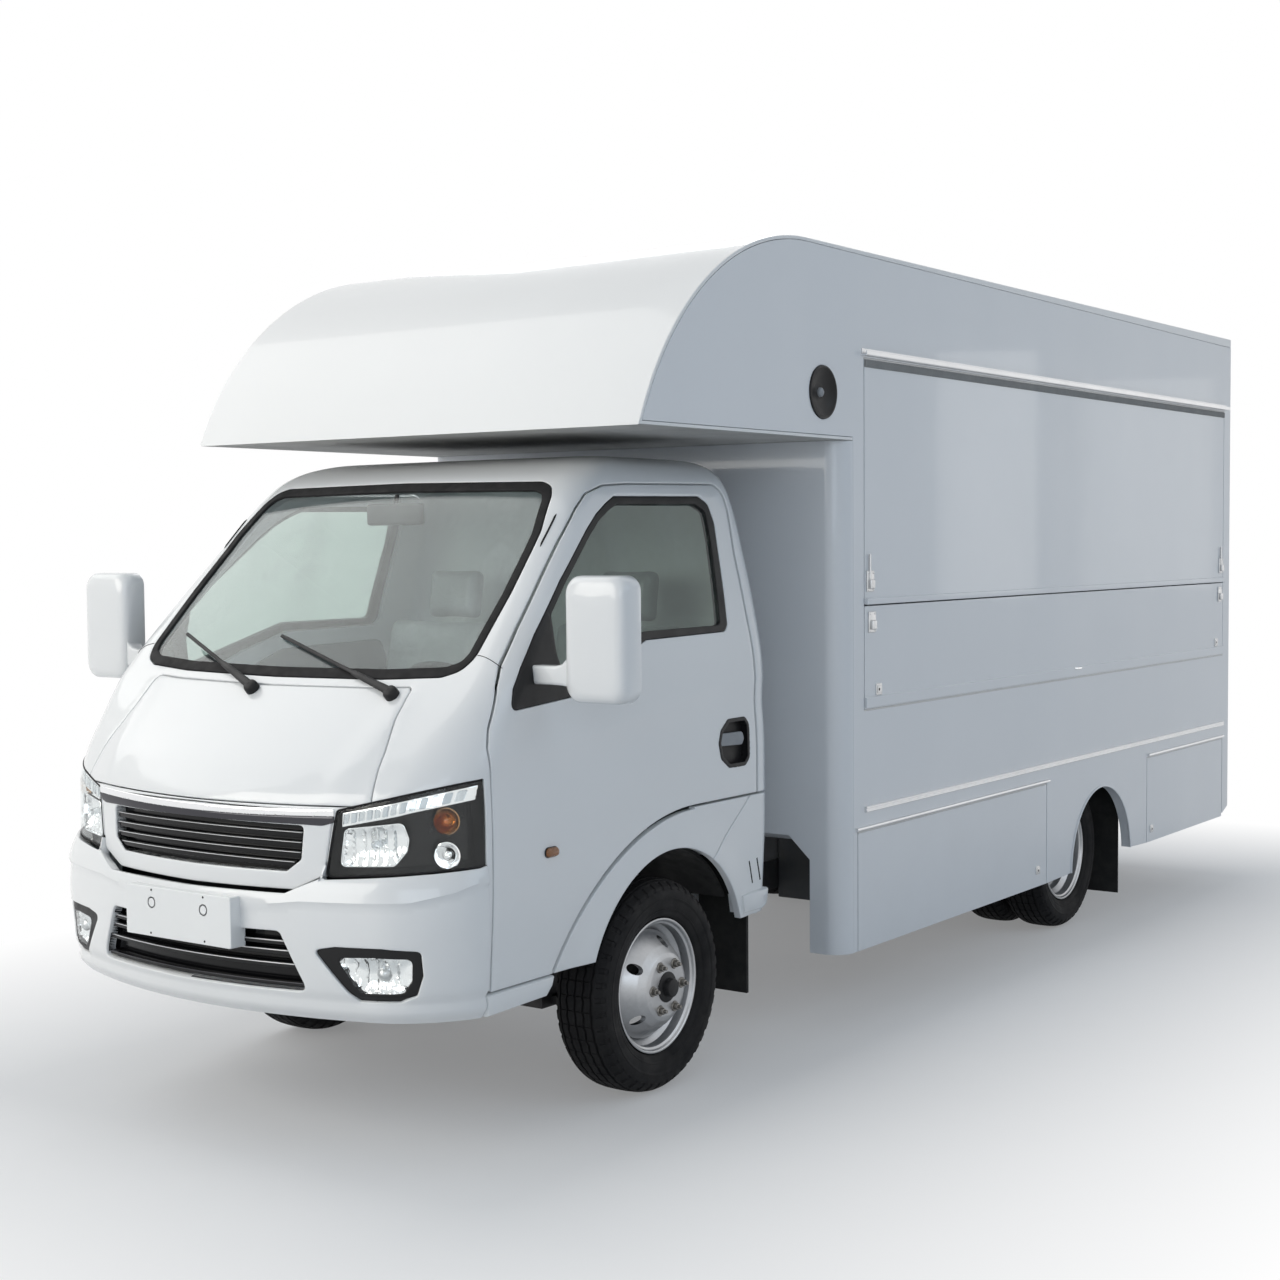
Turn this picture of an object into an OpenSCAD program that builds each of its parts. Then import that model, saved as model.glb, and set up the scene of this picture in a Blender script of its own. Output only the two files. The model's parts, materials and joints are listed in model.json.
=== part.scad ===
// Food truck: a small cab-over van cab in front of a tall box body with fold-open serving sides.
// Millimetres. The front faces -Y, the vehicle's left side is +X, and the tyres stand on z = 0.
// Inside the modules y is measured from the front axle; on_ground() moves that to the middle.

/* [Overall] */
// Distance between the front and rear axle
wheelbase = 3050; // [2700:10:3500]
// Front axle to the foremost face, on the number plate's base
front_overhang = 1228; // [1218:1:1262]
// Rear axle to the rearmost face of the step
rear_overhang = 1732; // [1500:1:2000]

/* [Box body] */
// Outside width of the box
box_w = 1824; // [1780:2:2000]
// Height of the box roof above the ground
roof_z = 2655; // [2560:5:2900]
// Front wall of the box behind the front axle
box_front = 868; // [850:1:1000]
// Thickness of the box walls
wall = 40; // [30:1:60]
// Outside radius of the upright front corners
corner_r = 75; // [60:1:120]
// Underside of the nose over the cab
nose_z = 2014; // [1990:1:2100]
// Radius of the nose curve
nose_r = 1016; // [900:1:1100]
// Where the nose curve runs into the flat roof
nose_y = 647; // [500:1:800]
// Lower edge of the skirts
skirt_z = 276; // [240:1:320]
// Top of the box floor
floor_z = 740; // [730:1:760]
// Thickness of the box floor
floor_t = 50; // [30:1:50]

/* [Serving side] */
// Front edge of the hatch
hatch_front = 1018; // [980:1:1200]
// Rear edge of the hatch, ahead of the box's rear face
hatch_rear_in = 91; // [80:1:300]
// Roof down to the top edge of the hatch
hatch_drop = 357; // [300:1:450]
// Line where the hatch meets the counter flap
hatch_split = 1458; // [1350:1:1600]
// Hinge line of the counter flap
counter_z = 1099; // [1000:1:1200]
// Strip under the fixed lower panel
low_strip_z = 760; // [745:1:800]
// Hinge line of the skirt doors
skirt_hinge_z = 684; // [640:1:700]
// Thickness of the flaps
flap_t = 35; // [25:1:40]
// Gap around every moving panel
gap = 5; // [5:0.5:8]
// Radius of the hinge rods
rod_r = 2.2; // [1.5:0.1:2.3]

/* [Rear] */
// Width of the rear entry door
rear_door_w = 720; // [600:10:900]
// Roof down to the top of the rear entry door
rear_door_drop = 395; // [250:5:600]

/* [Wheels] */
// Tyre diameter
tyre_od = 654; // [640:1:660]
// Tyre width
tyre_w = 190; // [170:1:200]
// Diameter over the rim flanges
rim_d = 414; // [400:1:430]
// Rim width over the flanges
rim_w = 148; // [130:1:160]
// Wheel face to the middle of the tyre
wheel_offset = 107; // [104:1:112]
// Wheel face to the middle plane of the truck, front
front_face_x = 792; // [780:1:800]
// Wheel face to the middle plane of the truck, rear
rear_face_x = 593; // [585:1:600]
// Kingpin to the middle plane of the truck
kingpin_x = 600; // [590:1:605]
// Radius of the wheel spindles
spindle_r = 22; // [18:1:26]
// Bolts on each wheel
wheel_bolts = 6; // [5:1:8]

/* [Cab] */
// Thickness of the cab's walls and doors
cab_t = 42; // [30:1:45]
// Thickness of the cab's glass
glass_t = 6; // [4:1:8]
// Front wheel arch radius
arch_r = 412; // [405:1:420]
// Rear wheel arch radius
rear_arch_r = 330; // [325:1:345]
// Height of the number plate's holes
plate_z = 695; // [675:1:710]
// Spacing of the number plate's holes
plate_hole_gap = 210; // [180:1:240]
// Width of the number plate's base
plate_w = 424; // [360:2:440]
// How far the plate's base stands out of the bumper
plate_out = 23; // [18:1:30]

/* [Chassis] */
// Outer face of the frame rails
rail_x = 360; // [340:1:362]
// Width of each rail
rail_w = 60; // [50:1:70]
// Underside of the rails
rail_z = 385; // [380:1:395]
// Height of the rails
rail_h = 110; // [90:1:112]
// Radius of the hole in the tow eye
tow_eye_r = 15; // [12:1:18]

/* [View] */
// Piece to show

/* [Hidden] */
// Clearance between pieces that rest on each other
seat = 0.3;
// Facets of round pieces
$fn = 64;
// Half the box's width
box_x = box_w / 2;
// Rear face of the box
box_rear = wheelbase + rear_overhang - 20;
// Rear edge of the hatch
hatch_rear = box_rear - hatch_rear_in;
// Top edge of the hatch
hatch_top = roof_z - hatch_drop;
// Top of the rear entry door
rear_door_top = roof_z - rear_door_drop;
// Speaker in the side of the nose: place and radius follow the nose's height
speaker_y = box_front - 125;
speaker_z = nose_z + 0.2356 * (roof_z - nose_z);
speaker_r = 0.1373 * (roof_z - nose_z);
// Front end of the rails
rail_front = 155 + plate_out - front_overhang;
// Rear end of the rails
rail_rear = box_rear - 62;
// Top of the rails
rail_top = rail_z + rail_h;
// Middle of the truck's length, from the front axle
mid_y = (wheelbase + rear_overhang - front_overhang) / 2;
// Height of the wheel centres
axle_z = tyre_od / 2;
// Middle of the front tyres
front_tyre_x = front_face_x - wheel_offset;
// Front wheel arch centre, behind the axle
arch_dy = 25;
// Rear wheel arch centre
rear_arch = [wheelbase + 78, 282];
// Centre of the nose curve
nose_cz = roof_z - nose_r;
// Foremost point of the nose
nose_front = nose_y - sqrt(nose_r * nose_r - pow(nose_z - nose_cz, 2));
// Underside of the box floor
floor_low = floor_z - floor_t;
// Skirt doors: front edge, rear edge and lower edge
skirt_a = [box_front + 107, wheelbase - 505, skirt_z];
skirt_b = [wheelbase + 612, box_rear - 90, skirt_z + 20];

// Cab form, one row a level. Columns: height, front on the middle line, half width,
// how far the front falls back towards the sides, corner across, corner along, back
CAB = [
    [450, -1150, 782, 190, 190, 240, 600],
    [800, -1166, 797, 195, 195, 245, 600],
    [970, -1160, 797, 190, 190, 240, 600],
    [1060, -1105, 796, 165, 170, 215, 600],
    [1150, -1012, 795, 130, 140, 180, 600],
    [1290, -853, 789, 75, 95, 130, 600],
    [1450, -692, 762, 60, 85, 115, 600],
    [1650, -494, 716, 50, 80, 105, 598],
    [1830, -318, 668, 42, 75, 100, 588],
    [1885, -248, 645, 38, 80, 100, 570],
    [1922, -160, 610, 30, 90, 100, 540],
    [1942, -60, 555, 20, 100, 100, 495],
    [1950, 60, 480, 10, 100, 100, 435]
];
// Bumper form, the same columns
BUMPER = [
    [405, -1152, 778, 185, 200, 250, 600],
    [440, -1182, 792, 190, 195, 245, 600],
    [560, -1200, 802, 195, 195, 245, 600],
    [700, plate_out - front_overhang, 806, 195, 195, 245, 600],
    [765, -1199, 804, 195, 195, 245, 600],
    [828, -1176, 799, 195, 195, 245, 600]
];
// Thickness of the doors' outer skin
door_skin = 16;
// Bottom of the doors' handle recess, from the middle plane
handle_x = 784;
// Extra room behind the doors' edges, which their inner faces swing into
door_swing = 8;
// Back of the cab
cab_back = 600;
// Front of the posts ahead of the doors
post_front = -846;
// Rear end of the headlamps
lamp_rear = post_front - 2;
// Height from which the cab's sections count as roof
roof_row_z = 1840;
// Half the dashboard's width
dash_x = 560;

// Outlines on the cab. Seen from the side: y, z. Seen from the front: x, z.
DOOR_TOP = [[-820, 470], [-820, 1130], [-806, 1180], [-750, 1294], [-714, 1347], [-618, 1449],
    [-485, 1583], [-378, 1688], [-280, 1780], [-222, 1824], [-134, 1848], [-12, 1855], [470, 1862],
    [508, 1836], [512, 1780], [498, 1640], [498, 1470], [506, 1263], [508, 868]];
DOOR_WINDOW = [[-734, 1224], [-714, 1283], [-671, 1339], [-591, 1426], [-439, 1572], [-264, 1718],
    [-203, 1763], [-142, 1796], [-91, 1818], [367, 1824], [412, 1800], [424, 1739], [384, 1416], [363, 1395],
    [-70, 1388], [-260, 1330], [-464, 1244]];
DOOR_POCKET = [[-745, 640], [-745, 1130], [-440, 1180], [-90, 1320], [400, 1330], [440, 1260], [440, 960],
    [230, 935], [-60, 920], [-330, 810], [-470, 640]];
HANDLE = [[345, 962], [440, 961], [466, 985], [466, 1096], [445, 1119], [346, 1118], [300, 1085],
    [285, 1045], [298, 994]];
SAIL = [[-760, 1200], [-760, 1400], [-500, 1560], [-512, 1376], [-464, 1244], [-464, 1200]];
WINDSCREEN = [[0, 1300], [400, 1304], [590, 1314], [640, 1332], [660, 1368], [652, 1540], [630, 1715],
    [596, 1815], [572, 1848], [530, 1862], [0, 1868]];
LAMP = [[452, 794], [482, 972], [640, 1012], [830, 1061], [830, 828]];
BONNET = [[0, 980], [494, 983], [560, 1290], [400, 1281], [0, 1277]];
GRILLE = [[0, 748], [352, 752], [446, 796], [472, 968], [0, 972]];
SLOTS = [[0, 800], [330, 802], [376, 836], [384, 928], [0, 930]];
INTAKE = [[0, 480], [414, 484], [336, 646], [0, 642]];
FOG = [[468, 560], [520, 640], [700, 628], [724, 590], [712, 540], [560, 512]];
// Door's lower edge over the wheel: centre and radius
FENDER_ARC = [150, 36, 832];

function arc(c, r, a0, a1, n) = [for (i = [0 : n])
    let (a = a0 + (a1 - a0) * i / n) [c[0] + r * cos(a), c[1] + r * sin(a)]];
function mirrored(p) = [for (i = [len(p) - 1 : -1 : 0]) [-p[i][0], p[i][1]]];
function both(p) = concat(p, mirrored(p));

// One level of the cab, shrunk by t
function level(row, t) = row[0] > roof_row_z
    ? [row[0] - t, row[1] + 0.7 * t, row[2] - 0.7 * t, row[3], row[4], row[5], row[6] - 0.7 * t]
    : [row[0], row[1] + (row[0] > 1000 ? 1.36 : 1) * t, row[2] - t, row[3], row[4], row[5],
       row[6] - t];
function front_at(row, x) = row[1] + row[3] * pow(x / row[2], 2);
// Left half of one level, from the middle of the front to the middle of the back
function half_level(row) = let (
    xs = row[2] - row[4],
    ys = front_at(row, xs),
    slope = 2 * row[3] * xs / (row[2] * row[2]))
    concat(
        [for (i = [0 : 4]) let (x = xs * i / 4) [x, front_at(row, x)]],
        [for (i = [1 : 5]) let (a = 18 * i)
            [xs + row[4] * sin(a), ys + slope * row[4] * sin(a) * cos(a) + row[5] * (1 - cos(a))]],
        arc([row[2] - 60, row[6] - 60], 60, 0, 90, 3),
        [[0, row[6]]]);
function ring(row) = let (h = half_level(row), n = len(h))
    concat([for (p = h) [p[0], p[1], row[0]]],
        [for (i = [n - 2 : -1 : 1]) [-h[i][0], h[i][1], row[0]]]);

// Solid of a form table between two of its rows, shrunk by t
module form(table, t, low, high) {
    rings = [for (i = [low : high]) ring(level(table[i], t))];
    n = len(rings[0]);
    m = len(rings);
    points = [for (r = rings) each r];
    sides = [for (i = [0 : m - 2]) for (j = [0 : n - 1])
        let (k = (j + 1) % n)
        each [[i * n + j, (i + 1) * n + j, (i + 1) * n + k], [i * n + j, (i + 1) * n + k, i * n + k]]];
    low_cap = [for (j = [0 : n - 1]) j];
    high_cap = [for (j = [n - 1 : -1 : 0]) (m - 1) * n + j];
    polyhedron(points, concat(sides, [low_cap, high_cap]), convexity = 6);
}

// Skin of the cab between two depths
module cab_skin(t0, t1, low = 0, high = 12) {
    difference() {
        form(CAB, t0, low, high);
        translate([0, 0, low == 0 ? -1 : 0])
            form(CAB, t1, low, high);
    }
}

// Prism along X from a side view outline
module side_prism(p, x0, x1) {
    translate([x0, 0, 0])
        rotate([90, 0, 90])
            linear_extrude(x1 - x0)
                polygon(p);
}

// Prism along X, grown by d
module side_grown(p, d, x0, x1) {
    translate([x0, 0, 0])
        rotate([90, 0, 90])
            linear_extrude(x1 - x0)
                offset(delta = d)
                    polygon(p);
}

// Prism along Y from a front view outline, grown by d
module front_prism(p, d, y0, y1) {
    translate([0, y1, 0])
        rotate([90, 0, 0])
            linear_extrude(y1 - y0)
                offset(delta = d)
                    polygon(p);
}

module block(x0, x1, y0, y1, z0, z1) {
    translate([x0, y0, z0])
        cube([x1 - x0, y1 - y0, z1 - z0]);
}

module both_sides() {
    children();
    mirror([1, 0, 0])
        children();
}

module on_ground() {
    translate([0, -mid_y, 0])
        children();
}

// Round bar along X
module bar_x(r, x0, x1, y, z) {
    translate([x0, y, z])
        rotate([0, 90, 0])
            cylinder(r = r, h = x1 - x0);
}

// Round bar along Y
module bar_y(r, y0, y1, x, z) {
    translate([x, y0, z])
        rotate([-90, 0, 0])
            cylinder(r = r, h = y1 - y0);
}

// Hinge rod along Y in the gap beside a flap, joined to the wall above (1) or below (-1)
module hinge_rod(y0, y1, z, up) {
    bar_y(rod_r, y0, y1, box_x - rod_r, z);
    block(box_x - 2 * rod_r, box_x - rod_r * 0.4, y0, y1, z - (up < 0 ? gap : 0), z + (up > 0 ? gap : 0));
}

// Door outline: top from the list, lower edge along the fender arc
function fender_edge(d) = arc([FENDER_ARC[0], FENDER_ARC[1]], FENDER_ARC[2] + d, 90, 147.6, 10);
function door_outline() = concat(DOOR_TOP, fender_edge(0), [[fender_edge(0)[10][0], 470]]);

// Room that a cab door takes up, left side, grown by d
module door_room(d) {
    intersection() {
        side_grown(door_outline(), d, 540, 900);
        front_prism(concat([for (r = CAB) if (r[0] < 1890) [r[2] - cab_t - 20, r[0]]],
            [[900, 1885], [900, 450]]), d, -1200, 800);
    }
}

/* Wheels. Drawn about their own axis, outboard along +Z, tyre middle at z = 0. */

module tyre_ring() {
    r = tyre_od / 2;
    w = tyre_w / 2;
    b = rim_d / 2;
    bead = [[b - 12 + seat, rim_w / 2 - 12], [b + 1, rim_w / 2 - 7], [b + 6, rim_w / 2 + 5], [r - 74, w - 3],
        [r - 50, w], [r - 20, w - 8], [r - 6, w - 20], [r, w - 44]];
    rotate_extrude()
        polygon(concat(bead, [for (i = [len(bead) - 1 : -1 : 0]) [bead[i][0], -bead[i][1]]]));
}

module rim_ring() {
    f = rim_d / 2;
    w = rim_w / 2;
    difference() {
        rotate_extrude()
            polygon([[f, -w], [f, -w + 5], [f - 12, -w + 9], [f - 12, -w + 40], [f - 32, -w + 56],
                [f - 32, w - 56], [f - 12, w - 40], [f - 12, w - 9], [f, w - 5], [f, w],
                [f - 8, w], [f - 20, w - 10], [f - 20, w - 42], [f - 40, w - 58],
                [f - 40, -w + 58], [f - 20, -w + 42], [f - 20, -w + 10], [f - 8, -w]]);
        translate([0, 0, -w - 1])
            cylinder(r = f - 44, h = 2 * w + 2);
    }
}

// Domed disc from the rim to the wheel face
module disc() {
    f = rim_d / 2;
    o = wheel_offset;
    difference() {
        rotate_extrude()
            polygon([[30, o], [98, o], [108, o - 4], [128, o - 26], [f - 54, o - 62], [f - 36, o - 80],
                [f - 36, o - 92], [f - 48, o - 86], [118, o - 36], [100, o - 14], [92, o - 10],
                [30, o - 10]]);
        for (i = [0 : 4])
            rotate([0, 0, 72 * i + 36])
                translate([132, 0, 0])
                    cylinder(r = 17, h = o);
    }
}

module lug_nuts(z) {
    for (i = [0 : wheel_bolts - 1])
        rotate([0, 0, 360 / wheel_bolts * i + 15])
            translate([76, 0, z])
                cylinder(r = 12, h = 20, $fn = 6);
}

module front_rim() {
    o = wheel_offset;
    difference() {
        union() {
            rim_ring();
            disc();
            translate([0, 0, -20])
                cylinder(r = 56, h = o + 20);
            translate([0, 0, o])
                cylinder(r1 = 50, r2 = 44, h = 26);
            lug_nuts(o);
        }
        translate([0, 0, -21])
            cylinder(r = spindle_r + seat, h = o + 21);
    }
}

// Two rims face to face, about the plane where the discs meet
module twin_rims() {
    o = wheel_offset;
    difference() {
        union() {
            translate([0, 0, o])
                mirror([0, 0, 1]) {
                    rim_ring();
                    disc();
                }
            translate([0, 0, -o]) {
                rim_ring();
                disc();
            }
            translate([0, 0, -60])
                cylinder(r = 58, h = 140);
            translate([0, 0, 10])
                cylinder(r = 92, h = 12);
            lug_nuts(9);
        }
        translate([0, 0, -61])
            cylinder(r = spindle_r + 8 + seat, h = 121);
    }
}

// Puts a wheel drawn along +Z on the left side
module left_wheel(x, y) {
    translate([x, y, axle_z])
        rotate([0, 90, 0])
            children();
}

module tyre_front_left() {
    color("#1b1b1c")
        on_ground()
            left_wheel(front_tyre_x, 0)
                tyre_ring();
}

module tyre_front_right() {
    mirror([1, 0, 0])
        tyre_front_left();
}

module wheel_front_left() {
    color("#b4b8bc")
        on_ground()
            left_wheel(front_tyre_x, 0)
                front_rim();
}

module wheel_front_right() {
    mirror([1, 0, 0])
        wheel_front_left();
}

module tyres_rear_left() {
    color("#1b1b1c")
        on_ground() {
            left_wheel(rear_face_x + wheel_offset, wheelbase)
                tyre_ring();
            left_wheel(rear_face_x - wheel_offset, wheelbase)
                tyre_ring();
        }
}

module tyres_rear_right() {
    mirror([1, 0, 0])
        tyres_rear_left();
}

module wheel_rear_left() {
    color("#b4b8bc")
        on_ground()
            left_wheel(rear_face_x, wheelbase)
                twin_rims();
}

module wheel_rear_right() {
    mirror([1, 0, 0])
        wheel_rear_left();
}

/* Running gear */

module chassis_frame() {
    color("#2b2c2e")
        on_ground()
            difference() {
                union() {
                    both_sides()
                        block(rail_x - rail_w, rail_x, rail_front, rail_rear, rail_z, rail_top);
                    for (y = [rail_front, 640, wheelbase - 1750, wheelbase - 950, wheelbase - 400,
                        wheelbase + 510, wheelbase + 1150, rail_rear - 60])
                        block(rail_w - rail_x, rail_x - rail_w, y, y + 60, rail_z + 10, rail_top - 20);
                    block(-30, 30, rail_rear - 60, rail_rear + 56, rail_z + 20, rail_z + 50);
                }
                translate([0, rail_rear + 28, rail_z])
                    cylinder(r = tow_eye_r, h = rail_h);
            }
}

module front_suspension() {
    color("#333436")
        on_ground() {
            block(-rail_x, rail_x, -70, 70, 215, 300);
            both_sides() {
                block(rail_x - rail_w, rail_x, -60, 60, 290, rail_z - seat);
                // Lower arm on the crossmember, upper arm on the rail's outer face
                for (a = [[axle_z - 104, rail_x - 60], [axle_z + 78, rail_x + seat]])
                    translate([0, 0, a[0]]) {
                        block(a[1], kingpin_x, -24, 24, 0, 26);
                        translate([kingpin_x, 0, 0])
                            cylinder(r = 24, h = 26);
                    }
                translate([kingpin_x, 0, axle_z - 90])
                    cylinder(r = 12, h = 180);
            }
        }
}

module knuckle_left() {
    color("#6b6d70")
        on_ground()
            difference() {
                union() {
                    translate([kingpin_x, 0, axle_z - 72])
                        cylinder(r = 26, h = 144);
                    block(kingpin_x, kingpin_x + 44, -46, 46, axle_z - 46, axle_z + 46);
                    bar_x(90, kingpin_x + 40, kingpin_x + 58, 0, axle_z);
                    bar_x(spindle_r, kingpin_x + 40, front_face_x - 20, 0, axle_z);
                    block(kingpin_x - 20, kingpin_x + 4, 20, 130, axle_z - 60, axle_z - 40);
                }
                translate([kingpin_x, 0, axle_z - 73])
                    cylinder(r = 12 + seat, h = 146);
            }
}

module knuckle_right() {
    mirror([1, 0, 0])
        knuckle_left();
}

module rear_axle() {
    color("#333436")
        on_ground() {
            bar_x(44, -rear_face_x + 130, rear_face_x - 130, wheelbase, axle_z);
            bar_x(spindle_r + 8, -rear_face_x - 40, rear_face_x + 40, wheelbase, axle_z);
            bar_y(110, wheelbase - 120, wheelbase + 110, 0, axle_z);
            both_sides()
                block(rail_x - rail_w, rail_x, wheelbase - 45, wheelbase + 45, axle_z - 52, axle_z);
        }
}

// Underslung leaf pack with its two hangers
module leaf_springs() {
    half = 520;
    low = axle_z - 53 - seat;
    r = (half * half + 96 * 96) / (2 * 96);
    color("#2a2a2b")
        on_ground()
            both_sides()
                translate([0, wheelbase, 0]) {
                    a = asin(half / r);
                    side_prism(concat(
                        arc([0, low - 22 + r], r + 14, -90 - a, -90 + a, 14),
                        arc([0, low - 22 + r], r - 22, -90 + a, -90 - a, 14)),
                        rail_x - rail_w + 2, rail_x - 2);
                    for (y = [-half, half])
                        block(rail_x - rail_w + 2, rail_x - 2, y - 24, y + 24, low + 40, rail_z - seat);
                }
}

module engine() {
    color("#55585c")
        on_ground()
            block(-270, 270, -150, 430, 305, 770);
}

module propshaft() {
    color("#3a3b3d")
        on_ground() {
            bar_y(34, 430 + seat, wheelbase - 120 - seat, 0, 345);
            bar_y(45, 430 + seat, 470, 0, 345);
            bar_y(45, wheelbase - 160, wheelbase - 120 - seat, 0, 345);
        }
}

module fuel_tank() {
    color("#3c3e41")
        on_ground()
            block(rail_x + seat, box_x - wall - 112, wheelbase - 1700, wheelbase - 900,
                rail_z - 35, rail_z + 215);
}

module exhaust() {
    color("#7a7470")
        on_ground() {
            bar_y(72, wheelbase - 1750, wheelbase - 1150, -rail_x - 110, rail_z + 45);
            bar_y(22, 760, wheelbase - 490, -rail_x - 110, rail_z + 45);
            for (y = [900, wheelbase - 650])
                block(-rail_x - 110, -rail_x - seat, y, y + 40, rail_z + 55, rail_z + 71);
        }
}

/* Cab */

// Fender around the front wheel, left side: the cab's side with a turned flare along the arch
module fender() {
    edge = concat([[600, 470], [600, 866 - gap], [FENDER_ARC[0], 866 - gap]],
        fender_edge(-gap - door_swing), [[fender_edge(0)[10][0] + gap + door_swing, 470]]);
    flare = [[arch_r - 1, 760], [arch_r - 1, 806], [arch_r + 20, 806], [arch_r + 55, 802],
        [arch_r + 100, 792], [arch_r + 100, 760]];
    difference() {
        intersection() {
            side_prism(edge, 748, 810);
            union() {
                form(CAB, 0, 0, 2);
                translate([0, arch_dy, axle_z + 8])
                    rotate([0, 90, 0])
                        rotate_extrude()
                            polygon(flare);
            }
        }
        bar_x(arch_r, 700, 900, arch_dy, axle_z + 8);
    }
}

// Two pins in the gap ahead of a cab door, left side
module door_pins() {
    for (z = [820, 1040]) {
        translate([794.5, DOOR_TOP[0][0] - gap / 2, z])
            cylinder(r = rod_r, h = 70);
        block(770, 795, DOOR_TOP[0][0] - 20, DOOR_TOP[0][0] - gap / 2, z, z + 70);
    }
}

module cab_shell() {
    color("#eef1f5")
        on_ground() {
            difference() {
                cab_skin(0, cab_t);
                both_sides()
                    for (y = [0, door_swing])
                        translate([0, y, 0])
                            door_room(gap);
                // Space taken by the fenders, the wheels and what lies under the deck
                block(-900, 900, -600, cab_back - cab_t, 400, 871);
                block(-900, 900, -1300, post_front, 400, 832);
                block(-900, 900, DOOR_TOP[0][0], -555, 400, 474);
                front_prism(both(WINDSCREEN), seat, -1400, 0);
                front_prism(both(BONNET), seat, -1400, -700);
                front_prism(both(GRILLE), seat, -1400, -900);
                both_sides()
                    front_prism(LAMP, seat, -1400, lamp_rear + seat);
                // Clear of the frame rails
                block(-740, 740, 540, 620, 400, rail_top + 8);
            }
            both_sides()
                fender();
            both_sides()
                door_pins();
            both_sides()
                block(740, 790, post_front, -556, 408, 464);
            both_sides()
                block(735, 760, 552, 600, 470, 900);
        }
}

module cab_floor() {
    x = 650;
    rear = cab_back - cab_t - seat;
    color("#3a3d41")
        on_ground()
            side_prism([[-880, rail_top + seat], [-440, rail_top + seat], [-440, 788], [rear, 788],
                [rear, 812], [-464, 812], [-464, 520], [-855, 520], [-855, 1018], [-880, 1018]], -x, x);
}

module bonnet() {
    color("#eef1f5")
        on_ground()
            intersection() {
                cab_skin(0, 26, 1, 6);
                front_prism(both(BONNET), 0, -1400, -700);
            }
}

module windscreen() {
    color("#8fa3ab")
        on_ground()
            intersection() {
                cab_skin(4, 4 + glass_t, 4, 10);
                front_prism(both(WINDSCREEN), 0, -1400, 0);
            }
}

module headlamps() {
    color("#c9d2d8")
        on_ground()
            intersection() {
                cab_skin(1, 60, 0, 4);
                both_sides()
                    front_prism(LAMP, 0, -1400, lamp_rear);
            }
}

module grille_surround() {
    color("#eef1f5")
        on_ground()
            difference() {
                intersection() {
                    cab_skin(0, 34, 0, 3);
                    front_prism(both(GRILLE), 0, -1400, -900);
                }
                front_prism(both(SLOTS), 0, -1400, -900);
            }
}

module grille() {
    color("#17181a")
        on_ground()
            intersection() {
                cab_skin(8, 33, 0, 3);
                difference() {
                    front_prism(both(SLOTS), -seat, -1400, -900);
                    for (z = [812 : 29 : 900])
                        block(-352, 352, -1400, -1000, z, z + 15);
                }
            }
}

// Base of the number plate, over the upper part of the intake, grown by d
module plate_base(d) {
    y = -front_overhang;
    block(-plate_w / 2 - d, plate_w / 2 + d, y - d, y + plate_out + 33 + d,
        plate_z - 103 - d, plate_z + 37 + d);
}

module bumper() {
    color("#eef1f5")
        on_ground()
            difference() {
                union() {
                    difference() {
                        form(BUMPER, 0, 0, 5);
                        translate([0, 0, -1])
                            form(BUMPER, 40, 0, 5);
                        translate([0, 0, 1])
                            form(BUMPER, 40, 0, 5);
                        block(-900, 900, post_front - seat, 700, 300, 900);
                        front_prism(both(GRILLE), seat, -1400, -900);
                        both_sides()
                            front_prism(LAMP, seat, -1400, lamp_rear + seat);
                        front_prism(both(INTAKE), 0, -1400, -900);
                        both_sides()
                            front_prism(FOG, 0, -1400, -900);
                    }
                    plate_base(0);
                }
                both_sides()
                    bar_y(3.5, -1400, -1000, plate_hole_gap / 2, plate_z);
            }
}

module fog_lamps() {
    color("#c9d2d8")
        on_ground()
            intersection() {
                difference() {
                    form(BUMPER, 12, 0, 5);
                    form(BUMPER, 38, 0, 5);
                }
                both_sides()
                    front_prism(FOG, -seat, -1400, -900);
            }
}

module intake() {
    color("#17181a")
        on_ground()
            intersection() {
                difference() {
                    form(BUMPER, 14, 0, 5);
                    form(BUMPER, 38, 0, 5);
                }
                difference() {
                    front_prism(both(INTAKE), -seat, -1400, -900);
                    for (z = [500 : 34 : 620])
                        block(-318, 318, -1400, -1000, z, z + 18);
                    plate_base(seat);
                }
            }
}

module dash_profile(d) {
    offset(delta = d)
        polygon([[-880, 1018 + seat], [-600, 1018 + seat], [-552, 1060], [-590, 1190], [-680, 1250],
            [-760, 1250], [-820, 1190], [-868, 1100]]);
}

module dashboard() {
    color("#54585e")
        on_ground()
            translate([-dash_x, 0, 0])
                rotate([90, 0, 90])
                    linear_extrude(2 * dash_x)
                        dash_profile(0);
}

module steering_wheel() {
    color("#1d1e20")
        on_ground()
            difference() {
                translate([360, -420, 1215])
                    rotate([-38, 0, 0]) {
                        rotate_extrude()
                            translate([180, 0])
                                circle(r = 13);
                        for (a = [90, 210, 330])
                            rotate([0, 0, a])
                                translate([0, -16, -16])
                                    cube([178, 32, 12]);
                        translate([0, 0, -34])
                            cylinder(r = 52, h = 42);
                        translate([0, 0, -300])
                            cylinder(r = 30, h = 280);
                    }
                translate([-700, 0, 0])
                    rotate([90, 0, 90])
                        linear_extrude(1400)
                            dash_profile(seat);
            }
}

module seats() {
    color("#8d9299")
        on_ground()
            both_sides() {
                block(110, 640, -330, 210, 812 + seat, 960);
                side_prism([[130, 940], [300, 940], [420, 1420], [330, 1420]], 120, 630);
                side_prism([[338, 1400], [418, 1400], [445, 1590], [365, 1590]], 260, 490);
            }
}

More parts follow.
